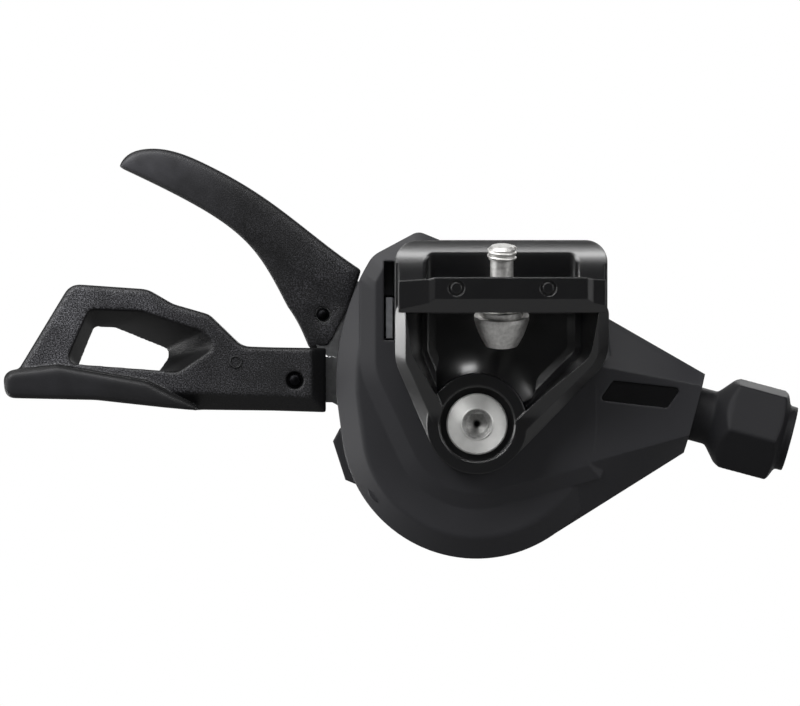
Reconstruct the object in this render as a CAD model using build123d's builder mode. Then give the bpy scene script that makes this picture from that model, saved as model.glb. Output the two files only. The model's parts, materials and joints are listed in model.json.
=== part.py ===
"""Trigger gear shifter for a flat handlebar, in millimetres.

The frame stands at the shoulder of the clamp bolt's thread, on the bolt's axis. X runs to the
right toward the adjuster, Y away from the viewer through the lever axle, and Z up.
"""

import os
from math import atan2, cos, degrees, hypot, radians, sin, tan

from build123d import *

os.makedirs("parts", exist_ok=True)

# Where the lever axle and the bracket's rear face stand, from the clamp bolt
AXLE_X = -3.7
AXLE_Z = -25.0
BASE_Y = 10.4

# Clearances: all round a turning fit, beside a sliding or dropped-in piece, and between layers
RUN_GAP = 0.15
SLIDE_GAP = 0.3
LAYER_GAP = 0.3

# Clamp bolt and washer
LEAN = 15.0
THREAD_R = 2.0
THREAD_L = 2.0
TIP_CHAMFER = 0.4
SHANK_R = 1.75
BOLT_HEAD_R = 4.15
BOLT_END_R = 2.45
BOLT_BULGE = 0.2
BOLT_HEAD_H = 4.7
BOLT_FLANGE_H = 0.6
BOLT_SOCKET = 2.5
BOLT_TRAVEL = 7.0
BOLT_FREE = 0.1
WASHER_R = 3.4
WASHER_T = 0.85

# Bracket
SADDLE_R = 11.0
SADDLE_DROP = 4.66
SADDLE_FRONT = 50.5
SADDLE_REAR = 58.0
BRACKET_HALF = 16.1
SHELF_HALF = 15.6
SHELF_T = 3.65
BRACKET_WALL = 3.3
BRACKET_SIDE = 4.2
BRACKET_DRAFT = 11.0
POCKET_ROUND = 2.4
BRACKET_CORNER = 3.3
BRACKET_KNEE = 9.4
KNEE_ROUND = 7.0
RIM_EDGE = 1.6
RIM_FOOT = 3.0
RIM_CURVE = 9.0
BAND_H = 3.3
BAND_CORNER = 2.4
BAND_STEP = 0.3
BAND_RAMP = 0.9
BAND_SWEEP = 0.6
BAND_LEFT = 10.1
BAND_RIGHT = 12.8
LIP_SET = 1.0
POCKET_CORNER = 1.0
BOSS_R = 7.6
BOSS_H = 5.6
BOSS_FOOT = 0.9
BOSS_COUNTERBORE = 5.6
COUNTERBORE_EDGE = 0.25
WINDOW_HALF = 11.45
WINDOW_FRONT = 4.6
WINDOW_REAR = 8.0
WINDOW_FLOOR = 1.5
WINDOW_CORNER = 1.2
WINDOW_EDGE = 0.5
SEAT_T = 1.7
HEAD_ROOM = 3.0
MARK_X = 6.9
MARK_R = 1.2
MARK_DEPTH = 0.25

# Axle bolt, sleeve, washer and nut
AXLE_R = 2.5
SLEEVE_R = 3.4
AXLE_HEAD_R = 4.65
AXLE_HEAD_T = 1.3
AXLE_RING_R = 2.4
AXLE_DISH = 0.5
HEAD_SINK = 0.9
AXLE_SOCKET = 3.0
SOCKET_DEPTH = 1.6
SOCKET_POINT = 0.8
SOCKET_TAPER = 58.0
AXLE_WASHER_R = 7.4
AXLE_WASHER_T = 1.1
NUT_AF = 8.0
NUT_T = 2.5
BOLT_PROUD = 0.2
HUB_R = 5.4
BUSH_WALL = 0.6

# Layers along the axle, behind the bracket's rear face
FLOOR_T = 2.8
BASE_T = 1.4
CABLE_DEPTH = 6.2
SPOOL_W = 3.0
INDEX_T = 1.3
RELEASE_T = 1.5
DRIVE_T = 1.5
MAIN_T = 2.0
SPRING_H = 3.6
REAR_CLEAR = 0.8
REAR_T = 1.8
PARTING = 11.8

# Base plate with its pins and its upright tab
BASE_R = 14.2
PIN_MARGIN = 0.1
HOLD_ANGLE = -55.0
POST_ANGLE = 245.0
PIN_R = 1.0
ARM_W = 4.0
ARM_LOW = 5.0
TAB_T = 1.0
TAB_GAP = 0.4
TAB_LOW = 13.0
TAB_HIGH = 19.2
TAB_SLOT_HIGH = 24.4
TAB_SINK = 0.4

# Covers
BODY_R = 20.6
COVER_WALL = 2.0
BEVEL = 3.2
BEVEL_DROP = 2.8
CAVITY_STEP = 0.6
CREASE_EDGE = 1.2
LAND_DROP = 1.2
LAND_MARGIN = 3.0
LAND_SLOPE = 2.4
LAND_EDGE = 0.5
REAR_INSET = 0.3
REAR_ROUND = 4.0
REAR_EAR = (20.0, -1.0)
REAR_EAR_R = 8.5
SCREW_R = 1.25
SCREW_HEAD_R = 2.6
SCREW_HEAD_T = 1.6
SCREW_SLOT = 0.7
SCREW_BOSS_R = 2.4
SCREW_PITCH_R = 17.2
SCREW_ANGLES = (40.0, 215.0)
NOSE_SCREW = (21.0, -7.0)
SCREW_GRIP = 7.0
SCREW_SINK = 2.4
SCREW_TIP = 0.5
CAP_R = 1.9
CAP_FROM = 55.0
CAP_L = 3.0
LABEL_AT = (24.85, 4.5)
LABEL_L = 10.4
LABEL_H = 3.25
LABEL_SLANT = 0.9
LABEL_ROUND = 0.5
LABEL_TURN = -6.5
LABEL_SINK = 0.35
LABEL_T = 0.55

# Nose and adjuster
ADJUSTER_X = 33.2
ADJUSTER_Z = 1.55
ADJUSTER_DIP = 15.0
NOSE_L = 16.5
NECK_R = 4.15
NECK_L = 2.7
NECK_IN = 3.8
KNOB_START = 6.1
KNOB_END = 12.7
KNOB_CORNER_R = 6.8
KNOB_FLARE = 0.4
KNOB_NOSE = 1.2
COLLAR_R = 4.6
COLLAR_END = 15.2
CASING_R = 3.1
CASING_DEPTH = 8.0
CORE_R = 2.5
CORE_BORE_R = 1.0
CORE_IN = 14.0
INSERT_FRONT = 8.4
INSERT_R = 3.9
INSERT_L = 4.6
RING_T = 1.6
RING_NOTCH_R = 0.4
CLICK_COIL_R = 3.5
CLICK_WIRE = 0.3
CLICK_COIL_H = 2.4

# Wheels and pawls
CABLE_R = 10.0
GROOVE = 0.8
FLANGE_CLEAR = 1.9
FLANGE_T = 0.6
SPRING_ROOM = 2.1
NIPPLE_R = 2.1
NIPPLE_ANGLE = 200.0
INDEX_CLEAR = 1.0
INDEX_TOOTH = 1.1
DRIVE_R = 10.0
DRIVE_ROOT_R = 8.7
CLICK = 20.0
TOOTH_RAKE = 0.46
NOTCH_OVER = 0.6
PAWL_R = 1.8
PAWL_TIP_R = 0.45
PAWL_CLEAR = 0.35
PIN_PROUD = 0.6
HOLD_LEAD = 30.0
HOLD_PHASE = -26.0
DRIVE_PIVOT_R = 14.0
DRIVE_ANGLE = 75.0
DRIVE_LEAD = 28.0
DRIVE_SWING = 8.0
DRIVE_PHASE = 3.4

# Wire of the coil springs, by its radius
PAWL_WIRE = 0.3
RELEASE_WIRE = 0.35
SPOOL_WIRE = 0.4
MAIN_WIRE = 0.55
COIL_GAP = 0.2
COIL_PITCH = 1.15

# Levers
RELEASE_HUB_R = 8.6
RELEASE_RIVET = (-27.7, 6.6)
RIVET_R = 1.3
RIVET_SINK = 0.5
RELEASE_FRONT = 4.6
RELEASE_BACK = 11.5
PAD_FRONT = -1.5
LEVER_EDGE = 0.6
ARM_CHAMFER = 2.2
ARM_MARK = (-36.7, 9.4)
ARM_MARK_R = 0.9
ARM_MARK_DEPTH = 0.25
BAR_EDGE = 1.0
BAR_END = 1.2
MOUTH_ROUND = 1.5
THROAT_ROUND = 1.0
MAIN_HUB_R = 8.6
EAR_SPREAD = (-15.0, 40.0)
CLAW_RIVET = (-23.5, 16.7)
CLAW_RIVET_R = 1.0
CLAW_FRONT = 12.2
CLAW_ROOT_BACK = 17.2
CLAW_BACK = 26.0
CLAW_EDGE = 0.8
WEB_STEP = 0.7
WEB_SLOPE = 55.0

# Outlines in the front view, from the axle: the body's upper edge with its corner radii
SHOULDER_LOW = (-BODY_R - 0.8, 4.5)
SHOULDER_MID = (-BODY_R, 14.0)
BODY_EDGE = (
    ((-15.8, 25.6), 4.0),
    ((-8.9, 29.3), 2.0),
    ((-5.5, 27.9), 2.0),
    ((8.0, 23.2), 3.0),
    ((BODY_R - 1.0, 16.0), 2.0),
)
LAND_EDGE_LINE = ((0, -13.0), (8.7, -11.2), (23, -7.2), (23, 12), (0, 12))
LUG = (
    (0.6 - BODY_R, 0),
    (-0.3 - BODY_R, -0.8),
    (-1.3 - BODY_R, -2.7),
    (0.6 - BODY_R, -8.6),
    (3.3 - BODY_R, -9.7),
    (5.6 - BODY_R, -4),
)
# The nose in section, at its root and at its end: along the adjuster's side, then toward the viewer
NOSE_ROOT = ((-24, 1.2), (-13.1, 6.2), (3.1, 6.2), (10.6, 1.2))
NOSE_TIP = ((-6.2, 2.0), (-3.5, 5.9), (4.4, 5.9), (6.2, 3.2))
# The release lever's loop with its corner radii, its opening, its finger bar, its foot and its plate
LOOP = (
    ((-71.4, 4.2), 1.2),
    ((-57.9, 3.9), 0),
    ((-42.7, 2.3), 0),
    ((-23.0, 1.7), 0),
    ((-23.0, 11.5), 0),
    ((-35.8, 11.7), 3.0),
    ((-40.9, 16.5), 2.0),
    ((-46.5, 18.0), 4.0),
    ((-50.3, 20.2), 3.0),
    ((-61.8, 21.0), 2.2),
    ((-69.6, 8.1), 0.8),
    ((-71.7, 7.7), 1.0),
)
LOOP_MOUTH = ((-63.2, 9), (-59.3, 17.8), (-50.8, 17.5), (-41.6, 14.3), (-39.2, 11.8), (-45.4, 7.6))
LOOP_THROAT = ((-61.6, 7.6), (-58.6, 15), (-55.4, 14.8), (-47, 11.4), (-47.2, 9.8), (-48.6, 7.6))
BAR = ((-71.4, 4.2), (-57.9, 3.9), (-42.4, 2.2), (-50.2, 6.2), (-63.7, 8.6), (-71.7, 7.7))
ARM_FOOT = ((-48.0, 2.9), (-22.0, 1.7))
RELEASE_ARM = ((-2, 8.6), (-22, 10.2), (-35, 10), (-36, 5), (-35, 3.4), (-22, 3.2), (-4, -7))
# The main lever's claw: its outer curve, its foot, its inner curve, the web set back, and its plate
CLAW_OUTER = ((-53.9, 39), (-52, 41.2), (-49.8, 41.7), (-41.4, 39.2), (-32, 33.6), (-17.6, 23.5))
CLAW_FOOT = ((-17.6, 23.5), (-19.7, 17.3), (-22.7, 11.8), (-25.3, 11.7))
CLAW_INNER = ((-25.3, 11.7), (-29.8, 20.6), (-33.8, 27), (-44.4, 34.7), (-53.9, 39))
CLAW_WEB = ((-34.4, 29.2), (-19.3, 18.6), (-22, 11), (-26, 10), (-36, 27))
CLAW_WAIST = (-25.0, -34.0, -40.0)
MAIN_ARM = ((2, 8), (-16.4, 21), (-26.5, 25.5), (-28.6, 19.6), (-24.2, 11.4), (-22.4, 10), (-5, -6.5))
# Sectors cut for the plates' arms, by their angles round the axle
RELEASE_SECTOR = (138, 165, 190)
MAIN_SECTOR = (118, 160, 204)

lean = radians(LEAN)
dip = radians(ADJUSTER_DIP)
base_back = FLOOR_T + BASE_T
spool_front = CABLE_DEPTH - SPOOL_W / 2
spool_back = CABLE_DEPTH + SPOOL_W / 2
index_back = spool_back + INDEX_T
release_front = index_back + LAYER_GAP
release_back = release_front + RELEASE_T
drive_front = release_back + LAYER_GAP
drive_back = drive_front + DRIVE_T
main_front = drive_back + 2 * LAYER_GAP
main_back = main_front + MAIN_T
spring_back = main_back + SPRING_H
washer_back = spring_back + AXLE_WASHER_T
nut_back = washer_back + NUT_T
rear_inner = nut_back + REAR_CLEAR
rear_outer = rear_inner + REAR_T
cavity_r = BODY_R - COVER_WALL
floor_r = cavity_r - BEVEL / 2
lobe_r = 1.5 * PIN_R
pin_pitch_r = floor_r - lobe_r - PIN_MARGIN
index_r = pin_pitch_r - PAWL_R - INDEX_CLEAR
index_root_r = index_r - INDEX_TOOTH
hold_coil_r = PIN_R + LAYER_GAP + PAWL_WIRE
flange_r = pin_pitch_r - hold_coil_r - PAWL_WIRE - FLANGE_CLEAR
past_covers = 2.4 * BODY_R
bracket_mid = -AXLE_X
shelf_under = -SADDLE_DROP * cos(lean) - SHELF_T

axle_line = Axis((AXLE_X, 0, AXLE_Z), (0, 1, 0))
axle_section = Plane(origin=(AXLE_X, BASE_Y, AXLE_Z), x_dir=(1, 0, 0), z_dir=(0, 0, 1))
bolt_plane = Plane(origin=(0, 0, 0), x_dir=(1, 0, 0), z_dir=(0, -sin(lean), cos(lean)))


def layer(depth, at=(0, 0)):
    """A plane facing the viewer, this deep behind the bracket, centred on the axle or a pin."""
    return Plane(
        origin=(AXLE_X + at[0], BASE_Y + depth, AXLE_Z + at[1]),
        x_dir=(1, 0, 0),
        z_dir=(0, -1, 0),
    )


def along_adjuster(distance):
    """A plane square to the adjuster's axis, this far out from the end of the nose."""
    return Plane(
        origin=(
            AXLE_X + ADJUSTER_X + distance * cos(dip),
            BASE_Y + CABLE_DEPTH,
            AXLE_Z + ADJUSTER_Z - distance * sin(dip),
        ),
        x_dir=(sin(dip), 0, cos(dip)),
        z_dir=(cos(dip), 0, -sin(dip)),
    )


def polar(radius, angle):
    """A point in the front view, round the axle."""
    return (radius * cos(radians(angle)), radius * sin(radians(angle)))


def sector(angles):
    """A wedge from the axle outward, past the covers."""
    return [(0, 0)] + [polar(past_covers, angle) for angle in angles]


def saddle(angle):
    """A point (y, z) on the saddle, by its angle from the bolt toward the rear."""
    up = SADDLE_R * (1 - cos(radians(angle))) - SADDLE_DROP
    back = SADDLE_R * sin(radians(angle))
    return (back * cos(lean) - up * sin(lean), up * cos(lean) + back * sin(lean))


def shield(grow, top, corner):
    """The bracket's outline grown all round: a round boss below, a square head above."""
    low = BRACKET_KNEE - 0.35 * grow
    with BuildSketch(Plane.XY) as outline:
        Circle(BOSS_R + grow)
        with Locations((bracket_mid, (top + low) / 2)):
            Rectangle(2 * (BRACKET_HALF + grow), top - low)
        make_hull()
        fillet(outline.vertices().sort_by(Axis.Y)[-2:], corner)
        for side in (-1, 1):
            knee = (bracket_mid + side * (BRACKET_HALF + grow), low)
            fillet(outline.vertices().sort_by_distance(knee)[0], KNEE_ROUND + grow)
    return outline.sketch


def coil(plane, radius, wire, height):
    """A wire spring wound round the normal of a plane, standing on it."""
    with BuildPart() as spring:
        with BuildLine() as path:
            start = plane.origin + plane.z_dir * wire
            pitch = 2 * COIL_PITCH * wire
            Helix(pitch, height - 2 * wire, radius, center=start, direction=plane.z_dir)
        with BuildSketch(Plane(origin=path.line @ 0, z_dir=path.line % 0)):
            Circle(wire)
        sweep()
    return spring.part


def saw_wheel(front, back, tip, root, bore, phase):
    """A wheel with saw notches one click apart all round."""
    with BuildPart() as wheel:
        with BuildSketch(layer(back)):
            Circle(tip)
            with PolarLocations(0, round(360 / CLICK), start_angle=phase):
                Polygon(
                    (root, 0), (tip + NOTCH_OVER, 0), (tip + NOTCH_OVER, -TOOTH_RAKE * tip),
                    align=None, mode=Mode.SUBTRACT,
                )
            Circle(bore, mode=Mode.SUBTRACT)
        extrude(amount=back - front)
    return wheel.part


# Bracket: a plate on the cover, drafted side walls, and a shelf that carries the saddle
front_lip = saddle(-SADDLE_FRONT)
rear_lip = saddle(SADDLE_REAR)
band_foot = (front_lip[0], front_lip[1] - BAND_H)
boss_front = BASE_Y - BOSS_H
saddle_rise = SADDLE_R - SADDLE_DROP
saddle_axis = (-saddle_rise * sin(lean), saddle_rise * cos(lean))
band_slope = BAND_SWEEP / (BRACKET_HALF - BAND_LEFT)
window_drop = SADDLE_DROP + WINDOW_FLOOR
seat_drop = window_drop + SEAT_T
outline_tall = shield(0, rear_lip[1] - AXLE_Z, BRACKET_CORNER)
outline_low = shield(0, band_foot[1] - AXLE_Z, BAND_CORNER)
rim_low = (boss_front, AXLE_Z + RIM_FOOT)
rim_high = (2 * band_foot[0] - rim_low[0], 2 * band_foot[1] - rim_low[1])
outline_over = shield(0, rim_high[1] - AXLE_Z, BAND_CORNER)

# The bracket's pocket: its floor sweeps up in three slopes, into the walls and onto the boss
pocket_top = band_foot[1] - AXLE_Z
pocket_side = BRACKET_SIDE - POCKET_ROUND * tan(radians(BRACKET_DRAFT))
slopes = []
for turn in (0, 30, 60):
    start, end = radians(turn), radians(turn + 30)
    rise = POCKET_ROUND * (cos(start) - cos(end))
    slant = degrees(atan2(sin(end) - sin(start), cos(start) - cos(end)))
    slopes.append((POCKET_ROUND * (1 - cos(start)), POCKET_ROUND * (1 - sin(start)), rise, slant))

with BuildPart() as pocket:
    with BuildSketch(layer(-BRACKET_WALL - POCKET_ROUND)):
        add(shield(-pocket_side, pocket_top, POCKET_CORNER))
    extrude(amount=BASE_Y - band_foot[0], taper=-BRACKET_DRAFT)
    for height, inset, rise, slant in slopes:
        with BuildSketch(layer(-BRACKET_WALL - height)):
            add(shield(-pocket_side - inset, pocket_top, POCKET_CORNER))
        extrude(amount=rise, taper=-slant)
    for height, inset, rise, slant in slopes:
        with BuildSketch(layer(-BRACKET_WALL - BOSS_FOOT * height)):
            Circle(BOSS_R + BOSS_FOOT * inset)
        extrude(amount=BOSS_FOOT * rise, taper=slant, mode=Mode.SUBTRACT)

with BuildPart() as bracket:
    with BuildSketch(layer(0)):
        add(outline_over)
    extrude(amount=BASE_Y - rim_high[0])
    with BuildSketch(Plane.YZ) as front_cut:
        Polygon(
            rim_high,
            rim_low,
            (boss_front, AXLE_Z - 2 * BOSS_R),
            (2 * rim_high[0], AXLE_Z - 2 * BOSS_R),
            (2 * rim_high[0], rim_high[1] + SADDLE_R),
            (rim_high[0], rim_high[1] + SADDLE_R),
            align=None,
        )
        fillet(front_cut.vertices().sort_by_distance(rim_low)[0], RIM_CURVE)
    extrude(amount=2 * BRACKET_HALF, both=True, mode=Mode.SUBTRACT)
    rim = bracket.edges().filter_by_position(Axis.Z, AXLE_Z - 2 * BOSS_R, band_foot[1] + BAND_CORNER)
    rim = rim.filter_by(lambda edge: edge.center().Y < boss_front + RUN_GAP)
    chamfer(rim.filter_by(lambda edge: abs(edge.tangent_at(0.5).X) < 0.99), RIM_EDGE)
    with BuildSketch(layer(0)):
        add(outline_low)
    extrude(amount=BASE_Y - rim_high[0], mode=Mode.INTERSECT)
    add(pocket.part, mode=Mode.SUBTRACT)
    with BuildSketch(layer(0)):
        Circle(BOSS_R)
    extrude(amount=BOSS_H)
    with BuildSketch(layer(0)):
        add(outline_tall)
    extrude(amount=BRACKET_WALL)
    with BuildSketch(Plane.YZ):
        Polygon(
            front_lip,
            band_foot,
            (band_foot[0] + LIP_SET, shelf_under),
            (BASE_Y, shelf_under),
            (BASE_Y, rear_lip[1]),
            rear_lip,
            align=None,
        )
    extrude(amount=SHELF_HALF, both=True)
    with BuildSketch(layer(0)):
        add(outline_tall)
    extrude(amount=BASE_Y - rim_high[0], mode=Mode.INTERSECT)
    with BuildSketch(Plane.YZ):
        with Locations(saddle_axis):
            Circle(SADDLE_R)
    extrude(amount=2 * BRACKET_HALF, both=True, mode=Mode.SUBTRACT)
    # The band's face steps back and sweeps away at its ends
    with BuildSketch(Plane.XY.offset(shelf_under)):
        for side, start in ((-1, BAND_LEFT), (1, BAND_RIGHT)):
            Polygon(
                (side * start, band_foot[0]),
                (side * (start + BAND_RAMP), band_foot[0] + BAND_STEP),
                (side * 2 * BRACKET_HALF, band_foot[0] + BAND_STEP + band_slope * (2 * BRACKET_HALF - start)),
                (side * 2 * BRACKET_HALF, 2 * band_foot[0]),
                (side * start, 2 * band_foot[0]),
                align=None,
            )
    extrude(amount=front_lip[1] - shelf_under, mode=Mode.SUBTRACT)
    # Window in the saddle, the bolt's slot through its floor, and the seat below
    with BuildSketch(bolt_plane.offset(-window_drop)):
        with Locations((0, (WINDOW_REAR - WINDOW_FRONT) / 2)):
            RectangleRounded(2 * WINDOW_HALF, WINDOW_REAR + WINDOW_FRONT, WINDOW_CORNER)
    extrude(amount=SADDLE_R, mode=Mode.SUBTRACT)
    window_top = bracket.edges().filter_by(Axis.X).filter_by(
        lambda edge: abs(edge.length - 2 * WINDOW_HALF + 2 * WINDOW_CORNER) < RUN_GAP
    )
    fillet(window_top.sort_by(Axis.Z)[-1], WINDOW_EDGE)
    with BuildSketch(bolt_plane.offset(-window_drop)):
        SlotCenterToCenter(2 * BOLT_TRAVEL, 2 * (THREAD_R + SLIDE_GAP))
    extrude(amount=-SEAT_T, mode=Mode.SUBTRACT)
    with BuildSketch(bolt_plane.offset(-seat_drop)):
        SlotCenterToCenter(2 * BOLT_TRAVEL, 2 * (BOLT_HEAD_R + SLIDE_GAP))
    extrude(amount=-HEAD_ROOM, mode=Mode.SUBTRACT)
    # Counterbored hole for the axle bolt, and two round marks on the front band
    with BuildSketch(layer(-BOSS_H)):
        Circle(BOSS_COUNTERBORE)
    extrude(amount=-(AXLE_HEAD_T + HEAD_SINK), mode=Mode.SUBTRACT)
    with BuildSketch(layer(-BOSS_H)):
        Circle(BOSS_COUNTERBORE)
    extrude(amount=BOSS_H, mode=Mode.SUBTRACT)
    with BuildSketch(layer(-BOSS_H)):
        Circle(BOSS_COUNTERBORE + COUNTERBORE_EDGE)
    extrude(amount=-COUNTERBORE_EDGE, taper=45, mode=Mode.SUBTRACT)
    with BuildSketch(layer(0)):
        Circle(AXLE_R + RUN_GAP)
    extrude(amount=BOSS_H, mode=Mode.SUBTRACT)
    mark_z = front_lip[1] - BAND_H / 2
    with BuildSketch(Plane((0, front_lip[0], mark_z), x_dir=(1, 0, 0), z_dir=(0, -1, 0))):
        with Locations((-MARK_X, 0), (MARK_X, 0)):
            Circle(MARK_R)
            Circle(0.7 * MARK_R, mode=Mode.SUBTRACT)
    extrude(amount=-MARK_DEPTH, mode=Mode.SUBTRACT)

bracket.part.label = "bracket"
export_step(bracket.part, "parts/bracket.step")

# Clamp bolt and washer, sliding sideways in the window
bolt_section = Plane(origin=(0, 0, 0), x_dir=(1, 0, 0), z_dir=(0, -cos(lean), -sin(lean)))
bolt_line = Axis((0, 0, 0), (0, -sin(lean), cos(lean)))
washer_top = -seat_drop - BOLT_FREE
head_top = washer_top - WASHER_T
head_low = head_top - BOLT_HEAD_H

with BuildPart() as clamp_bolt:
    with BuildSketch(bolt_section):
        with BuildLine():
            Polyline(
                (0, THREAD_L),
                (THREAD_R - TIP_CHAMFER, THREAD_L),
                (THREAD_R, THREAD_L - TIP_CHAMFER),
                (THREAD_R, 0),
                (SHANK_R, 0),
                (SHANK_R, head_top),
                (BOLT_HEAD_R, head_top),
                (BOLT_HEAD_R, head_top - BOLT_FLANGE_H),
            )
            ThreePointArc(
                (BOLT_HEAD_R, head_top - BOLT_FLANGE_H),
                ((BOLT_HEAD_R + BOLT_END_R) / 2 + BOLT_BULGE, (head_top - BOLT_FLANGE_H + head_low) / 2),
                (BOLT_END_R, head_low),
            )
            Polyline((BOLT_END_R, head_low), (0, head_low), (0, THREAD_L))
        make_face()
    revolve(axis=bolt_line)
    with BuildSketch(bolt_plane.offset(head_low)):
        RegularPolygon(BOLT_SOCKET / 2, 6, major_radius=False)
    extrude(amount=BOLT_HEAD_H / 2, mode=Mode.SUBTRACT)

clamp_bolt.part.label = "clamp_bolt"
export_step(clamp_bolt.part, "parts/clamp_bolt.step")

with BuildPart() as clamp_washer:
    with BuildSketch(bolt_plane.offset(head_top)):
        Circle(WASHER_R)
        Circle(THREAD_R + RUN_GAP, mode=Mode.SUBTRACT)
    extrude(amount=WASHER_T)

clamp_washer.part.label = "clamp_washer"
export_step(clamp_washer.part, "parts/clamp_washer.step")

# Axle bolt with its dished head, and the pieces it holds together
axle_seat = AXLE_HEAD_T + HEAD_SINK - BOSS_H

with BuildPart() as axle_bolt:
    with BuildSketch(axle_section):
        with BuildLine():
            head_front = axle_seat - AXLE_HEAD_T
            Polyline(
                (0, head_front + AXLE_DISH),
                (0.8 * AXLE_RING_R, head_front + AXLE_DISH),
                (0.93 * AXLE_RING_R, head_front),
                (AXLE_RING_R, head_front),
                (1.04 * AXLE_RING_R, head_front + 0.3 * AXLE_DISH),
                (AXLE_HEAD_R - 0.4 * AXLE_DISH, head_front + 0.7 * AXLE_DISH),
                (AXLE_HEAD_R, head_front + 1.1 * AXLE_DISH),
                (AXLE_HEAD_R, axle_seat),
                (AXLE_R, axle_seat),
                (AXLE_R, nut_back + BOLT_PROUD),
                (0, nut_back + BOLT_PROUD),
                close=True,
            )
        make_face()
    revolve(axis=axle_line)
    with BuildSketch(layer(head_front)):
        RegularPolygon(AXLE_SOCKET / 2, 6, major_radius=False)
    extrude(amount=-SOCKET_DEPTH, mode=Mode.SUBTRACT)
    with BuildSketch(layer(head_front + SOCKET_DEPTH)):
        Circle(AXLE_SOCKET / 2)
    extrude(amount=-SOCKET_POINT, taper=SOCKET_TAPER, mode=Mode.SUBTRACT)

axle_bolt.part.label = "axle_bolt"
export_step(axle_bolt.part, "parts/axle_bolt.step")

with BuildPart() as axle_sleeve:
    with BuildSketch(layer(spring_back)):
        Circle(SLEEVE_R)
        Circle(AXLE_R, mode=Mode.SUBTRACT)
    extrude(amount=spring_back - base_back)

axle_sleeve.part.label = "axle_sleeve"
export_step(axle_sleeve.part, "parts/axle_sleeve.step")

with BuildPart() as axle_washer:
    with BuildSketch(layer(washer_back)):
        Circle(AXLE_WASHER_R)
        Circle(AXLE_R, mode=Mode.SUBTRACT)
    extrude(amount=washer_back - spring_back)

axle_washer.part.label = "axle_washer"
export_step(axle_washer.part, "parts/axle_washer.step")

with BuildPart() as axle_nut:
    with BuildSketch(layer(nut_back)):
        RegularPolygon(NUT_AF / 2, 6, major_radius=False)
        Circle(AXLE_R, mode=Mode.SUBTRACT)
    extrude(amount=NUT_T)

axle_nut.part.label = "axle_nut"
export_step(axle_nut.part, "parts/axle_nut.step")

# Base plate: a steel disc with lobes for the pins and an upright tab beside the bracket
hold_pivot = polar(pin_pitch_r, HOLD_ANGLE)
post_pivot = polar(pin_pitch_r, POST_ANGLE)
tab_u = bracket_mid - BRACKET_HALF - TAB_GAP - TAB_T

with BuildPart() as base_plate:
    with BuildSketch(layer(base_back)):
        Circle(BASE_R)
        for angle in (HOLD_ANGLE, POST_ANGLE):
            with Locations(Location((*polar(pin_pitch_r / 2, angle), 0), (0, 0, angle))):
                SlotCenterToCenter(pin_pitch_r, 2 * lobe_r)
        with Locations((tab_u + ARM_W / 2, (ARM_LOW + TAB_HIGH) / 2)):
            Rectangle(ARM_W, TAB_HIGH - ARM_LOW)
        with Locations(hold_pivot, post_pivot):
            Circle(PIN_R, mode=Mode.SUBTRACT)
        Circle(AXLE_R + RUN_GAP, mode=Mode.SUBTRACT)
    extrude(amount=BASE_T)
    with BuildSketch(layer(FLOOR_T)):
        with Locations((tab_u + TAB_T / 2, (TAB_LOW + TAB_HIGH) / 2)):
            Rectangle(TAB_T, TAB_HIGH - TAB_LOW)
    extrude(amount=FLOOR_T - TAB_SINK)

base_plate.part.label = "base_plate"
export_step(base_plate.part, "parts/base_plate.step")

# Front cover: a drum with a shoulder and a nose, and a raised land under the bracket
with BuildSketch(Plane.XY) as body_outline:
    with BuildLine():
        drum = CenterArc((0, 0), BODY_R, 188, 172)
        Line(drum @ 0, SHOULDER_LOW)
        ThreePointArc(SHOULDER_LOW, SHOULDER_MID, BODY_EDGE[0][0])
        Polyline(*[corner for corner, radius in BODY_EDGE], (BODY_R, 0.4 * BODY_R), drum @ 1)
    make_face()
    for corner, radius in BODY_EDGE:
        fillet(body_outline.vertices().sort_by_distance(corner)[0], radius)

land_grow = LAND_MARGIN + LAND_SLOPE
with BuildSketch(Plane.XY) as land:
    add(shield(land_grow, rear_lip[1] - AXLE_Z + land_grow, BRACKET_CORNER))
    with BuildLine():
        Polyline(*LAND_EDGE_LINE, close=True)
    make_face()
    add(body_outline.sketch, mode=Mode.INTERSECT)

bevel_back = LAND_DROP + BEVEL_DROP
nose_back = CABLE_DEPTH - PARTING
screw_spots = [polar(SCREW_PITCH_R, angle) for angle in SCREW_ANGLES]
with BuildSketch(Plane.XY) as label_outline:
    with Locations(LABEL_AT):
        Polygon(
            (-LABEL_L / 2 - LABEL_SLANT, -LABEL_H / 2),
            (LABEL_L / 2 - LABEL_SLANT, -LABEL_H / 2),
            (LABEL_L / 2 + LABEL_SLANT, LABEL_H / 2),
            (-LABEL_L / 2 + LABEL_SLANT, LABEL_H / 2),
            rotation=LABEL_TURN,
            align=None,
        )
    fillet(label_outline.vertices(), LABEL_ROUND)

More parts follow.
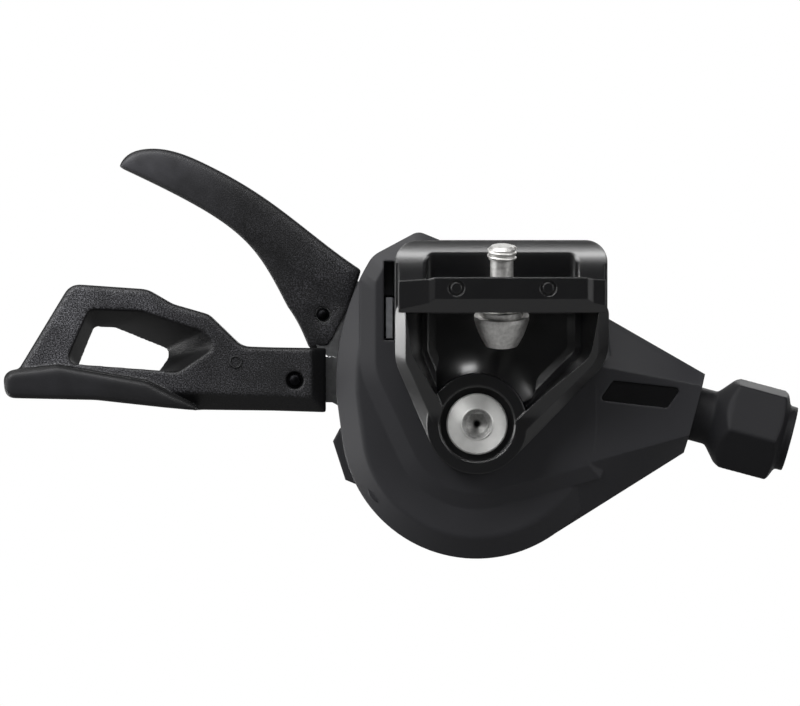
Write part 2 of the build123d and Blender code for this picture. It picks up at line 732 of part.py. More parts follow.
with BuildPart() as front_cover:
    with BuildSketch(layer(PARTING)):
        add(body_outline.sketch)
    extrude(amount=PARTING - bevel_back)
    with BuildSketch(layer(bevel_back)):
        add(body_outline.sketch)
    extrude(amount=BEVEL_DROP, taper=degrees(atan2(BEVEL, BEVEL_DROP)))
    fillet(front_cover.faces().sort_by(Axis.Y)[0].edges(), CREASE_EDGE)
    with BuildSketch(layer(bevel_back)):
        add(land.sketch)
    extrude(amount=BEVEL_DROP)
    with BuildSketch(layer(LAND_DROP)):
        add(land.sketch)
    extrude(amount=LAND_DROP, taper=degrees(atan2(LAND_SLOPE, LAND_DROP)))
    fillet(front_cover.faces().sort_by(Axis.Y)[0].edges(), LAND_EDGE)
    for distance, section in ((-NOSE_L, NOSE_ROOT), (0, NOSE_TIP)):
        with BuildSketch(along_adjuster(distance)):
            Polygon((section[0][0], nose_back), *section, (section[-1][0], nose_back), align=None)
    loft(ruled=True)
    # Stop lug low on the left
    with BuildSketch(layer(PARTING)):
        Polygon(*LUG, align=None)
    extrude(amount=PARTING - bevel_back - CREASE_EDGE)
    # Room inside, the axle hole, and the pocket and slot for the base plate's tab
    with BuildSketch(layer(PARTING)):
        Circle(cavity_r)
    extrude(amount=PARTING - bevel_back - CAVITY_STEP, mode=Mode.SUBTRACT)
    with BuildSketch(layer(PARTING)):
        Circle(floor_r)
        with Locations((tab_u + ARM_W / 2, (ARM_LOW + TAB_HIGH) / 2)):
            Rectangle(ARM_W + 2 * SLIDE_GAP, TAB_HIGH - ARM_LOW + 2 * SLIDE_GAP)
    extrude(amount=PARTING - FLOOR_T, mode=Mode.SUBTRACT)
    with BuildSketch(layer(FLOOR_T)):
        Circle(AXLE_R + RUN_GAP)
        with Locations((tab_u + TAB_T / 2, (TAB_LOW + TAB_SLOT_HIGH) / 2)):
            Rectangle(TAB_T + 2 * SLIDE_GAP, TAB_SLOT_HIGH - TAB_LOW + 2 * SLIDE_GAP)
    extrude(amount=2 * FLOOR_T, mode=Mode.SUBTRACT)
    # Slot for the release lever's plate
    with BuildSketch(layer(PARTING)):
        Polygon(*sector(RELEASE_SECTOR), align=None)
    extrude(amount=PARTING - release_front + LAYER_GAP, mode=Mode.SUBTRACT)
    # Screw posts
    with BuildSketch(layer(PARTING)):
        with Locations(*screw_spots):
            Circle(SCREW_BOSS_R)
    extrude(amount=PARTING - FLOOR_T)
    with BuildSketch(layer(PARTING)):
        with Locations(*screw_spots, NOSE_SCREW):
            Circle(SCREW_R)
    extrude(amount=SCREW_GRIP, mode=Mode.SUBTRACT)
    # Bore of the nose, the seat of the threaded insert, the cable's way and the access hole
    with BuildSketch(along_adjuster(NECK_L)):
        Circle(NECK_R + SLIDE_GAP)
    extrude(amount=-NECK_L - INSERT_FRONT, mode=Mode.SUBTRACT)
    with BuildSketch(along_adjuster(-INSERT_FRONT)):
        Circle(INSERT_R)
    extrude(amount=-INSERT_L, mode=Mode.SUBTRACT)
    with BuildSketch(along_adjuster(-INSERT_FRONT)):
        Circle(CORE_R + SLIDE_GAP)
    extrude(amount=-CORE_IN, mode=Mode.SUBTRACT)
    with BuildSketch(along_adjuster(-CAP_FROM - 2 * CAP_L)):
        Circle(CAP_R)
    extrude(amount=4 * CAP_L, mode=Mode.SUBTRACT)
    # Recess for the label panel
    with BuildSketch(layer(LABEL_SINK + LABEL_T)):
        add(label_outline.sketch)
    extrude(amount=2 * LABEL_T + LABEL_SINK, mode=Mode.SUBTRACT)

front_cover.part.label = "front_cover"
export_step(front_cover.part, "parts/front_cover.step")

# Bare label panel, let into the nose
with BuildPart() as label_panel:
    with BuildSketch(layer(LABEL_SINK + LABEL_T)):
        add(label_outline.sketch)
    extrude(amount=LABEL_T)

label_panel.part.label = "label_panel"
export_step(label_panel.part, "parts/label_panel.step")

# Cable access cap on the shoulder, in line with the adjuster
with BuildPart() as access_cap:
    with BuildSketch(along_adjuster(-CAP_FROM)):
        Circle(CAP_R)
    extrude(amount=CAP_L)
    with BuildSketch(along_adjuster(-CAP_FROM)):
        Rectangle(SCREW_SLOT, 1.5 * CAP_R)
    extrude(amount=CAP_L / 4, mode=Mode.SUBTRACT)

access_cap.part.label = "access_cap"
export_step(access_cap.part, "parts/access_cap.step")

# Rear cover: a rounded cup with a notch for the main lever's plate
with BuildPart() as rear_cover:
    with BuildSketch(layer(rear_outer)):
        Circle(BODY_R - REAR_INSET)
        with Locations(REAR_EAR):
            Circle(REAR_EAR_R)
        make_hull()
    extrude(amount=rear_outer - PARTING)
    fillet(rear_cover.faces().sort_by(Axis.Y)[-1].edges(), REAR_ROUND)
    with BuildSketch(layer(rear_inner)):
        Circle(cavity_r)
    extrude(amount=rear_inner - PARTING, mode=Mode.SUBTRACT)
    with BuildSketch(layer(main_back + LAYER_GAP)):
        Polygon(*sector(MAIN_SECTOR), align=None)
    extrude(amount=main_back + LAYER_GAP - PARTING, mode=Mode.SUBTRACT)
    with BuildSketch(layer(rear_inner)):
        with Locations(*screw_spots):
            Circle(SCREW_BOSS_R)
    extrude(amount=rear_inner - PARTING)
    with BuildSketch(layer(rear_outer)):
        with Locations(*screw_spots, NOSE_SCREW):
            Circle(SCREW_R)
    extrude(amount=rear_outer - PARTING, mode=Mode.SUBTRACT)
    with BuildSketch(layer(rear_outer)):
        with Locations(*screw_spots, NOSE_SCREW):
            Circle(SCREW_HEAD_R + SLIDE_GAP)
    extrude(amount=SCREW_SINK, mode=Mode.SUBTRACT)

rear_cover.part.label = "rear_cover"
export_step(rear_cover.part, "parts/rear_cover.step")

# Three cover screws, driven from the rear
with BuildPart() as cover_screws:
    with BuildSketch(layer(rear_outer - SCREW_SINK)):
        with Locations(*screw_spots, NOSE_SCREW):
            Circle(SCREW_R)
    extrude(amount=rear_outer - SCREW_SINK - PARTING + SCREW_GRIP - SCREW_TIP)
    with BuildSketch(layer(rear_outer - SCREW_SINK)):
        with Locations(*screw_spots, NOSE_SCREW):
            Circle(SCREW_HEAD_R)
    extrude(amount=-SCREW_HEAD_T)
    with BuildSketch(layer(rear_outer - SCREW_SINK + SCREW_HEAD_T)):
        with Locations(*screw_spots, NOSE_SCREW):
            Rectangle(1.2 * SCREW_HEAD_R, SCREW_SLOT)
            Rectangle(SCREW_SLOT, 1.2 * SCREW_HEAD_R)
    extrude(amount=0.6 * SCREW_HEAD_T, mode=Mode.SUBTRACT)

cover_screws.part.label = "cover_screws"
export_step(cover_screws.part, "parts/cover_screws.step")

spring_out = CABLE_R - 2 * GROOVE
spring_in = HUB_R - BUSH_WALL

# Spool with its cable groove and a hub that carries the two toothed wheels
with BuildPart() as cable_spool:
    with BuildSketch(axle_section):
        with BuildLine():
            Polyline(
                (SLEEVE_R + RUN_GAP, spool_front),
                (flange_r, spool_front),
                (flange_r, spool_front + FLANGE_T),
                (CABLE_R - GROOVE, CABLE_DEPTH - FLANGE_T),
                (CABLE_R - GROOVE, CABLE_DEPTH + FLANGE_T),
                (flange_r, spool_back - FLANGE_T),
                (flange_r, spool_back),
                (HUB_R, spool_back),
                (HUB_R, drive_back),
                (SLEEVE_R + RUN_GAP, drive_back),
                close=True,
            )
        make_face()
    revolve(axis=axle_line)
    # Ring room for the return spring, and the seat of the cable's nipple
    with BuildSketch(layer(spool_front)):
        Circle(spring_out)
        Circle(spring_in, mode=Mode.SUBTRACT)
    extrude(amount=-SPRING_ROOM, mode=Mode.SUBTRACT)
    with BuildSketch(layer(spool_front)):
        with Locations(polar(CABLE_R, NIPPLE_ANGLE)):
            Circle(NIPPLE_R)
    extrude(amount=FLANGE_T - SPOOL_W, mode=Mode.SUBTRACT)

cable_spool.part.label = "cable_spool"
export_step(cable_spool.part, "parts/cable_spool.step")

index_phase = HOLD_ANGLE + HOLD_PHASE
index_wheel = saw_wheel(spool_back, index_back, index_r, index_root_r, HUB_R, index_phase)
index_wheel.label = "index_wheel"
export_step(index_wheel, "parts/index_wheel.step")

# Drive pawl on the main lever: its tip drops into a notch of the drive ratchet
drive_pivot = polar(DRIVE_PIVOT_R, DRIVE_ANGLE)
drive_tip = polar(DRIVE_R + PAWL_CLEAR + PAWL_TIP_R, DRIVE_ANGLE + DRIVE_LEAD)
reach = hypot(drive_tip[0] - drive_pivot[0], drive_tip[1] - drive_pivot[1])
bearing = degrees(atan2(drive_tip[1] - drive_pivot[1], drive_tip[0] - drive_pivot[0]))
dropped = (
    drive_pivot[0] + reach * cos(radians(bearing + DRIVE_SWING)),
    drive_pivot[1] + reach * sin(radians(bearing + DRIVE_SWING)),
)
notch_phase = degrees(atan2(dropped[1], dropped[0])) + DRIVE_PHASE
drive_ratchet = saw_wheel(drive_front, drive_back, DRIVE_R, DRIVE_ROOT_R, HUB_R, notch_phase)
drive_ratchet.label = "drive_ratchet"
export_step(drive_ratchet, "parts/drive_ratchet.step")

with BuildPart() as drive_pawl:
    with BuildSketch(layer(drive_back)):
        with Locations(drive_pivot):
            Circle(PAWL_R - RUN_GAP)
        with Locations(drive_tip):
            Circle(PAWL_TIP_R)
        make_hull()
        with Locations(drive_pivot):
            Circle(PIN_R + RUN_GAP, mode=Mode.SUBTRACT)
    extrude(amount=DRIVE_T)

drive_pawl.part.label = "drive_pawl"
export_step(drive_pawl.part, "parts/drive_pawl.step")

with BuildPart() as drive_pawl_pin:
    with BuildSketch(layer(main_back)):
        with Locations(drive_pivot):
            Circle(PIN_R)
    extrude(amount=main_back - drive_front + LAYER_GAP / 2)

drive_pawl_pin.part.label = "drive_pawl_pin"
export_step(drive_pawl_pin.part, "parts/drive_pawl_pin.step")

# Hold pawl on the base plate, its pin and spring
hold_tip = polar(index_r + PAWL_CLEAR + PAWL_TIP_R, HOLD_ANGLE - HOLD_LEAD)
with BuildPart() as hold_pawl:
    with BuildSketch(layer(index_back)):
        with Locations(hold_pivot):
            Circle(PAWL_R)
        with Locations(hold_tip):
            Circle(PAWL_TIP_R)
        make_hull()
        with Locations(hold_pivot):
            Circle(PIN_R + RUN_GAP, mode=Mode.SUBTRACT)
    extrude(amount=INDEX_T)

hold_pawl.part.label = "hold_pawl"
export_step(hold_pawl.part, "parts/hold_pawl.step")

with BuildPart() as hold_pawl_pin:
    with BuildSketch(layer(index_back + PIN_PROUD)):
        with Locations(hold_pivot):
            Circle(PIN_R)
    extrude(amount=index_back + PIN_PROUD - FLOOR_T)

hold_pawl_pin.part.label = "hold_pawl_pin"
export_step(hold_pawl_pin.part, "parts/hold_pawl_pin.step")

with BuildPart() as spring_post:
    with BuildSketch(layer(spool_back)):
        with Locations(post_pivot):
            Circle(PIN_R)
    extrude(amount=spool_back - FLOOR_T)

spring_post.part.label = "spring_post"
export_step(spring_post.part, "parts/spring_post.step")

# Wire springs, each round its own pin or hub
hold_coil_h = spool_back - COIL_GAP - base_back - COIL_GAP
hold_spring = coil(layer(spool_back - COIL_GAP, hold_pivot), hold_coil_r, PAWL_WIRE, hold_coil_h)
hold_spring.label = "hold_pawl_spring"
export_step(hold_spring, "parts/hold_pawl_spring.step")

post_coil_r = PIN_R + LAYER_GAP + RELEASE_WIRE
post_coil_h = spool_back - base_back - COIL_GAP
release_spring = coil(layer(spool_back, post_pivot), post_coil_r, RELEASE_WIRE, post_coil_h)
release_spring.label = "release_spring"
export_step(release_spring, "parts/release_spring.step")

spool_coil_at = layer(spool_front + SPRING_ROOM - COIL_GAP)
spool_spring = coil(spool_coil_at, (spring_out + spring_in) / 2, SPOOL_WIRE, SPRING_ROOM - COIL_GAP)
spool_spring.label = "spool_spring"
export_step(spool_spring, "parts/spool_spring.step")

main_coil_at = layer(spring_back - COIL_GAP)
main_coil_r = HUB_R + 2 * LAYER_GAP + MAIN_WIRE
main_spring = coil(main_coil_at, main_coil_r, MAIN_WIRE, SPRING_H - COIL_GAP - LAYER_GAP)
main_spring.label = "main_spring"
export_step(main_spring, "parts/main_spring.step")

# Release lever: steel plate, bush, looped paddle and rivet
with BuildPart() as release_plate:
    with BuildSketch(layer(release_back)):
        Circle(RELEASE_HUB_R)
        Polygon(*RELEASE_ARM, align=None)
        Circle(HUB_R + RUN_GAP + BUSH_WALL, mode=Mode.SUBTRACT)
        with Locations(RELEASE_RIVET):
            Circle(RIVET_R, mode=Mode.SUBTRACT)
    extrude(amount=RELEASE_T)

release_plate.part.label = "release_plate"
export_step(release_plate.part, "parts/release_plate.step")

with BuildPart() as release_bush:
    with BuildSketch(layer(release_back)):
        Circle(HUB_R + RUN_GAP + BUSH_WALL)
        Circle(HUB_R + RUN_GAP, mode=Mode.SUBTRACT)
    extrude(amount=RELEASE_T)

release_bush.part.label = "release_bush"
export_step(release_bush.part, "parts/release_bush.step")

with BuildPart() as release_paddle:
    with BuildSketch(layer(RELEASE_BACK)) as loop_outline:
        Polygon(*[corner for corner, radius in LOOP], align=None)
        for corner, radius in LOOP:
            if radius:
                fillet(loop_outline.vertices().sort_by_distance(corner)[0], radius)
    extrude(amount=RELEASE_BACK - RELEASE_FRONT)
    fillet(release_paddle.faces().sort_by(Axis.Y)[0].edges(), LEVER_EDGE)
    # Opening of the loop, wider toward the viewer
    with BuildSketch(layer(RELEASE_FRONT)) as mouth:
        Polygon(*LOOP_MOUTH, align=None)
        fillet(mouth.vertices(), MOUTH_ROUND)
    with BuildSketch(layer(RELEASE_BACK)) as throat:
        Polygon(*LOOP_THROAT, align=None)
        fillet(throat.vertices(), THROAT_ROUND)
    loft(mode=Mode.SUBTRACT)
    # Slanted faces along the arm's foot and down its end by the cover
    slant_front = BASE_Y + RELEASE_FRONT - ARM_CHAMFER
    slant_back = BASE_Y + RELEASE_FRONT + 2 * ARM_CHAMFER
    for u, v in ARM_FOOT:
        with BuildSketch(Plane.YZ.offset(AXLE_X + u)):
            top = AXLE_Z + v + 2 * ARM_CHAMFER
            Polygon(
                (slant_front, top),
                (slant_front, top - 3 * ARM_CHAMFER),
                (slant_back, top - 3 * ARM_CHAMFER),
                align=None,
            )
    loft(mode=Mode.SUBTRACT)
    with BuildSketch(Plane.XY.offset(AXLE_Z)):
        arm_end = AXLE_X + LOOP[3][0][0] - 2 * ARM_CHAMFER
        Polygon(
            (arm_end, slant_front),
            (arm_end + 3 * ARM_CHAMFER, slant_front),
            (arm_end + 3 * ARM_CHAMFER, slant_back),
            align=None,
        )
    extrude(amount=LOOP[4][0][1] + ARM_CHAMFER, mode=Mode.SUBTRACT)
    # Smooth finger bar, standing forward of the loop
    with BuildSketch(layer(RELEASE_BACK)) as bar_outline:
        Polygon(*BAR, align=None)
        for corner in (BAR[0], BAR[-1]):
            fillet(bar_outline.vertices().sort_by_distance(corner)[0], BAR_END)
    extrude(amount=RELEASE_BACK - PAD_FRONT)
    fillet(release_paddle.faces().sort_by(Axis.Y)[0].edges(), BAR_EDGE)
    add(release_plate.part, mode=Mode.SUBTRACT)
    with BuildSketch(layer(RELEASE_BACK)):
        with Locations(RELEASE_RIVET):
            Circle(RIVET_R)
    extrude(amount=RELEASE_BACK - RELEASE_FRONT, mode=Mode.SUBTRACT)
    with BuildSketch(layer(RELEASE_FRONT)):
        with Locations(ARM_MARK):
            Circle(ARM_MARK_R)
            Circle(0.7 * ARM_MARK_R, mode=Mode.SUBTRACT)
    extrude(amount=-ARM_MARK_DEPTH, mode=Mode.SUBTRACT)

release_paddle.part.label = "release_paddle"
export_step(release_paddle.part, "parts/release_paddle.step")

with BuildPart() as release_rivet:
    with BuildSketch(layer(RELEASE_BACK)):
        with Locations(RELEASE_RIVET):
            Circle(RIVET_R)
    extrude(amount=RELEASE_BACK - RELEASE_FRONT - RIVET_SINK)

release_rivet.part.label = "release_rivet"
export_step(release_rivet.part, "parts/release_rivet.step")

# Main lever: steel plate, bush, claw and rivet
ear_roots = [polar(MAIN_HUB_R, DRIVE_ANGLE + turn) for turn in EAR_SPREAD]

with BuildPart() as main_plate:
    with BuildSketch(layer(main_back)):
        Circle(MAIN_HUB_R)
        Polygon(*MAIN_ARM, align=None)
        with Locations(drive_pivot):
            Circle(PAWL_R + LAYER_GAP)
        Polygon((0, 0), ear_roots[0], drive_pivot, ear_roots[1], align=None)
        Circle(HUB_R, mode=Mode.SUBTRACT)
        with Locations(CLAW_RIVET):
            Circle(CLAW_RIVET_R, mode=Mode.SUBTRACT)
        with Locations(drive_pivot):
            Circle(PIN_R, mode=Mode.SUBTRACT)
    extrude(amount=MAIN_T)

main_plate.part.label = "main_plate"
export_step(main_plate.part, "parts/main_plate.step")

with BuildPart() as main_bush:
    with BuildSketch(layer(spring_back - LAYER_GAP)):
        Circle(HUB_R)
        Circle(SLEEVE_R + RUN_GAP, mode=Mode.SUBTRACT)
    extrude(amount=spring_back - LAYER_GAP - drive_back - LAYER_GAP)

main_bush.part.label = "main_bush"
export_step(main_bush.part, "parts/main_bush.step")

with BuildPart() as main_paddle:
    with BuildSketch(layer(CLAW_BACK)):
        with BuildLine():
            Spline(*CLAW_OUTER)
            Polyline(*CLAW_FOOT)
            Spline(*CLAW_INNER)
        make_face()
    extrude(amount=CLAW_BACK - CLAW_FRONT)
    fillet(main_paddle.faces().sort_by(Axis.Y)[0].edges(), CLAW_EDGE)
    fillet(main_paddle.faces().sort_by(Axis.Y)[-1].edges(), CLAW_EDGE)
    # The claw is thin at its root and widens rearward to the thumb's face
    with BuildSketch(Plane.XY.offset(AXLE_Z)):
        with BuildLine():
            root_y = BASE_Y + CLAW_ROOT_BACK
            tip_y = BASE_Y + CLAW_BACK + CLAW_EDGE
            waist_start, waist_mid, waist_end = [AXLE_X + u for u in CLAW_WAIST]
            Polyline((AXLE_X, tip_y), (AXLE_X, root_y), (waist_start, root_y))
            ThreePointArc(
                (waist_start, root_y), (waist_mid, 0.6 * root_y + 0.4 * tip_y), (waist_end, tip_y)
            )
            Line((waist_end, tip_y), (AXLE_X, tip_y))
        make_face()
    extrude(amount=past_covers, mode=Mode.SUBTRACT)
    # The web below the crease is set back, down a slope
    with BuildSketch(layer(CLAW_FRONT)):
        Polygon(*CLAW_WEB, align=None)
    extrude(amount=-WEB_STEP, taper=WEB_SLOPE, mode=Mode.SUBTRACT)
    add(main_plate.part, mode=Mode.SUBTRACT)
    with BuildSketch(layer(CLAW_ROOT_BACK)):
        with Locations(CLAW_RIVET):
            Circle(CLAW_RIVET_R)
    extrude(amount=CLAW_ROOT_BACK - CLAW_FRONT, mode=Mode.SUBTRACT)

main_paddle.part.label = "main_paddle"
export_step(main_paddle.part, "parts/main_paddle.step")

with BuildPart() as main_rivet:
    with BuildSketch(layer(CLAW_ROOT_BACK)):
        with Locations(CLAW_RIVET):
            Circle(CLAW_RIVET_R)
    extrude(amount=CLAW_ROOT_BACK - CLAW_FRONT - WEB_STEP)

main_rivet.part.label = "main_rivet"
export_step(main_rivet.part, "parts/main_rivet.step")

# Adjuster: hexagonal knob, hollow core, threaded insert, click ring and spring
with BuildPart() as adjuster_knob:
    with BuildSketch(along_adjuster(-NECK_IN)):
        Circle(NECK_R)
    extrude(amount=NECK_IN + NECK_L)
    with BuildSketch(along_adjuster(NECK_L)):
        Circle(NECK_R)
    with BuildSketch(along_adjuster(KNOB_START)):
        Circle(KNOB_CORNER_R + KNOB_FLARE)
    loft()
    with BuildSketch(along_adjuster(KNOB_START)):
        Circle(KNOB_CORNER_R + KNOB_FLARE)
    extrude(amount=KNOB_END - KNOB_START)
    with BuildSketch(along_adjuster(KNOB_END)):
        Circle(KNOB_CORNER_R + KNOB_FLARE)
    with BuildSketch(along_adjuster(KNOB_END + KNOB_NOSE)):
        Circle(COLLAR_R)
    loft()
    with BuildSketch(along_adjuster(-NECK_IN)):
        RegularPolygon(KNOB_CORNER_R, 6)
    extrude(amount=NECK_IN + COLLAR_END, mode=Mode.INTERSECT)
    with BuildSketch(along_adjuster(KNOB_END)):
        Circle(COLLAR_R)
    extrude(amount=COLLAR_END - KNOB_END)
    with BuildSketch(along_adjuster(-NECK_IN)):
        Circle(CORE_R)
    extrude(amount=NECK_IN + COLLAR_END - CASING_DEPTH, mode=Mode.SUBTRACT)
    with BuildSketch(along_adjuster(COLLAR_END)):
        Circle(CASING_R)
    extrude(amount=-CASING_DEPTH, mode=Mode.SUBTRACT)

adjuster_knob.part.label = "adjuster_knob"
export_step(adjuster_knob.part, "parts/adjuster_knob.step")

with BuildPart() as adjuster_core:
    with BuildSketch(along_adjuster(-CORE_IN)):
        Circle(CORE_R)
        Circle(CORE_BORE_R, mode=Mode.SUBTRACT)
    extrude(amount=CORE_IN + COLLAR_END - CASING_DEPTH)

adjuster_core.part.label = "adjuster_core"
export_step(adjuster_core.part, "parts/adjuster_core.step")

with BuildPart() as adjuster_insert:
    with BuildSketch(along_adjuster(-INSERT_FRONT)):
        Circle(INSERT_R)
        Circle(CORE_R + RUN_GAP, mode=Mode.SUBTRACT)
    extrude(amount=-INSERT_L)

adjuster_insert.part.label = "adjuster_insert"
export_step(adjuster_insert.part, "parts/adjuster_insert.step")

with BuildPart() as click_ring:
    with BuildSketch(along_adjuster(-NECK_IN - LAYER_GAP)):
        Circle(NECK_R)
        with PolarLocations(NECK_R, 12):
            Circle(RING_NOTCH_R, mode=Mode.SUBTRACT)
        Circle(CORE_R + RUN_GAP, mode=Mode.SUBTRACT)
    extrude(amount=-RING_T)

click_ring.part.label = "click_ring"
export_step(click_ring.part, "parts/click_ring.step")

click_spring = coil(along_adjuster(-INSERT_FRONT), CLICK_COIL_R, CLICK_WIRE, CLICK_COIL_H)
click_spring.label = "click_spring"
export_step(click_spring, "parts/click_spring.step")
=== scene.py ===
# %% [markdown]
# # A trigger gear shifter, dressed for a studio photograph
# The solids come from the part's own model and stay where they are. This lesson gives each of them
# the finish of the real piece, adds the small shapes that are too fine for the solids, and lights
# the whole like a catalogue picture on white.

# %% Load the frame
import json
from math import cos, pi, radians, sin

import bmesh
import bpy
from mathutils import Matrix, Vector
from mathutils.bvhtree import BVHTree


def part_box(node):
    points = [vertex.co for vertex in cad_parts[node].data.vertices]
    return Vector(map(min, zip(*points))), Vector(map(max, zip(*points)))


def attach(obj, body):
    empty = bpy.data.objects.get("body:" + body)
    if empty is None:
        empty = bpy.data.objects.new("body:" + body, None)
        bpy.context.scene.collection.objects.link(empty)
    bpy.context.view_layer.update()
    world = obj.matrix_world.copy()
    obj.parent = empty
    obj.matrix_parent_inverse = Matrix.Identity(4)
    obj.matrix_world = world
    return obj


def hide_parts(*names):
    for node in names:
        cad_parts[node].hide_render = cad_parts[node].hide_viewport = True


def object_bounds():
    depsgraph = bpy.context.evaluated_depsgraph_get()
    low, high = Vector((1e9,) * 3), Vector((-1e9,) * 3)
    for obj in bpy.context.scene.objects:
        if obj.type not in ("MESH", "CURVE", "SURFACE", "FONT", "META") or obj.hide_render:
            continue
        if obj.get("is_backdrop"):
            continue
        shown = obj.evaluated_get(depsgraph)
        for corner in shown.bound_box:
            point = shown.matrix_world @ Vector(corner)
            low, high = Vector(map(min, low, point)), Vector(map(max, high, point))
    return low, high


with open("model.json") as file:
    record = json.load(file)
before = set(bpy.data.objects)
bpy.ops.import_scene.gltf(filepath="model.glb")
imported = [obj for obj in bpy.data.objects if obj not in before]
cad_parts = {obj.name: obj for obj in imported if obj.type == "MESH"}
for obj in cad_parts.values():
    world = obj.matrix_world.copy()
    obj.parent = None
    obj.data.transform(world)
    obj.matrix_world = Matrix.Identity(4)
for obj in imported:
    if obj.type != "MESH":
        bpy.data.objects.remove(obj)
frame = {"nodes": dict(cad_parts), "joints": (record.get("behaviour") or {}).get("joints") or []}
cad_low, cad_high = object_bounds()
MM = 0.001
print("nodes:", len(frame["nodes"]), "box in mm:", [round(s / MM, 1) for s in cad_high - cad_low])

# %% [markdown]
# ## Where things are
# Every place below is read from the frame, so that a change of size in the model moves the scene
# along with it. The lever axle is the centre of the shifter: its bolt tells us where it stands.

# %% Places read from the frame
def middle(node):
    low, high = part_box(node)
    return (low + high) / 2


axle = middle("axle_bolt")
axle_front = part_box("axle_bolt")[0].y
print("axle at", [round(c / MM, 2) for c in axle])

# %% [markdown]
# ## The camera
# The photograph looks straight at the front through a long lens, so lines that run away from us
# hardly converge. A long focal length far away gives the same flat view. The image is 800 by 706
# pixels, and 6.6 of its pixels are one millimetre of the shifter.

# %% Camera at the photograph's view
def put(name, data):
    """An object that shows this mesh, lamp or camera in the scene."""
    made = bpy.data.objects.new(name, data)
    bpy.context.scene.collection.objects.link(made)
    return made


PHOTO_W, PHOTO_H = 800, 706
PIXELS_PER_MM = 6.6
AXLE_PIXEL = (477, 424)
CAMERA_DISTANCE = 1.5

view_width = PHOTO_W / PIXELS_PER_MM * MM
aim_x = axle.x + (PHOTO_W / 2 - AXLE_PIXEL[0]) / PIXELS_PER_MM * MM
aim_z = axle.z + (AXLE_PIXEL[1] - PHOTO_H / 2) / PIXELS_PER_MM * MM
lens = bpy.data.cameras.new("long_lens")
lens.sensor_width = 36
lens.lens = lens.sensor_width * CAMERA_DISTANCE / view_width
lens.clip_end = 10
camera = put("camera", lens)
camera.location = (aim_x, axle_front - CAMERA_DISTANCE, aim_z)
camera.rotation_euler = (radians(90), 0, 0)
bpy.context.scene.camera = camera
print("lens in mm:", round(lens.lens), "picture in mm:", round(view_width / MM, 1))

# %% [markdown]
# ## One helper for every node tree
# Materials, the world and geometry trees are all node trees. One small function adds a node, sets
# its own settings and fills its inputs with numbers or with links from other nodes. A second one
# turns a colour as it is seen on a screen into the linear numbers that the renderer works with.

# %% Node and colour helpers
def add(tree, kind, inputs=None, **settings):
    made = tree.nodes.new(kind)
    for name, value in settings.items():
        setattr(made, name, value)
    for name, value in (inputs or {}).items():
        if isinstance(value, bpy.types.NodeSocket):
            tree.links.new(value, made.inputs[name])
        else:
            made.inputs[name].default_value = value
    return made


def linear(hex_colour):
    parts = [int(hex_colour[i:i + 2], 16) / 255 for i in (1, 3, 5)]
    return (*[c / 12.92 if c <= 0.04045 else ((c + 0.055) / 1.055) ** 2.4 for c in parts], 1)


# %% [markdown]
# ## Studio: floor, world and lamps
# A product on white is shot over a white sweep with large soft boxes. The floor lies below the
# shifter, which hangs on its clamp, and catches its soft shadow. Seen directly it is topped up to
# white; for everything else it is an ordinary pale floor. The world does the same: white where it
# is seen, a soft grey dome where it lights.

# %% Floor
FLOOR_DROP = 0.06
FLOOR_HALF_X, FLOOR_HALF_Y = 0.4, 0.24
FLOOR_LIFT = 0.25
FLOOR_TONE, FLOOR_TONE_SEEN = "#787878", "#e4e4e4"

floor_z = cad_low.z - FLOOR_DROP
floor_corners = ((-1, -1), (1, -1), (1, 1), (-1, 1))
floor_mesh = bpy.data.meshes.new("floor")
floor_mesh.from_pydata(
    [(aim_x + x * FLOOR_HALF_X, y * FLOOR_HALF_Y, floor_z) for x, y in floor_corners], [], [(0, 1, 2, 3)])
floor = put("floor", floor_mesh)
floor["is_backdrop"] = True

paper = bpy.data.materials.new("white_paper_sweep")
paper.use_nodes = True
tree = paper.node_tree
tree.nodes.clear()
seen = add(tree, "ShaderNodeLightPath")
tone = add(tree, "ShaderNodeMix", {
    0: seen.outputs["Is Camera Ray"], 6: linear(FLOOR_TONE), 7: linear(FLOOR_TONE_SEEN)}, data_type="RGBA")
matte = add(tree, "ShaderNodeBsdfDiffuse", {"Color": tone.outputs[2]})
lift = add(tree, "ShaderNodeMath", {0: seen.outputs["Is Camera Ray"], 1: FLOOR_LIFT}, operation="MULTIPLY")
glow = add(tree, "ShaderNodeEmission", {"Color": linear("#ffffff"), "Strength": lift.outputs[0]})
paper_light = add(tree, "ShaderNodeAddShader", {0: matte.outputs[0], 1: glow.outputs[0]})
add(tree, "ShaderNodeOutputMaterial", {"Surface": paper_light.outputs[0]})
floor_mesh.materials.append(paper)
print("floor at", round(floor_z / MM, 1), "mm")

# %% [markdown]
# The room around a product table is dark, so smooth faces that mirror it stay dark, and only what
# mirrors the backdrop behind the shifter turns white. That is why mirrored rays see another strength
# than the soft dome: a dim room that brightens toward the backdrop.

# %% World
DOME_STRENGTH = 0.3
ROOM_MIRRORED = 0.04
# How squarely a mirrored ray heads for the backdrop where it starts to brighten, and where it is white
BACKDROP_START, BACKDROP_FULL = 0.75, 0.97

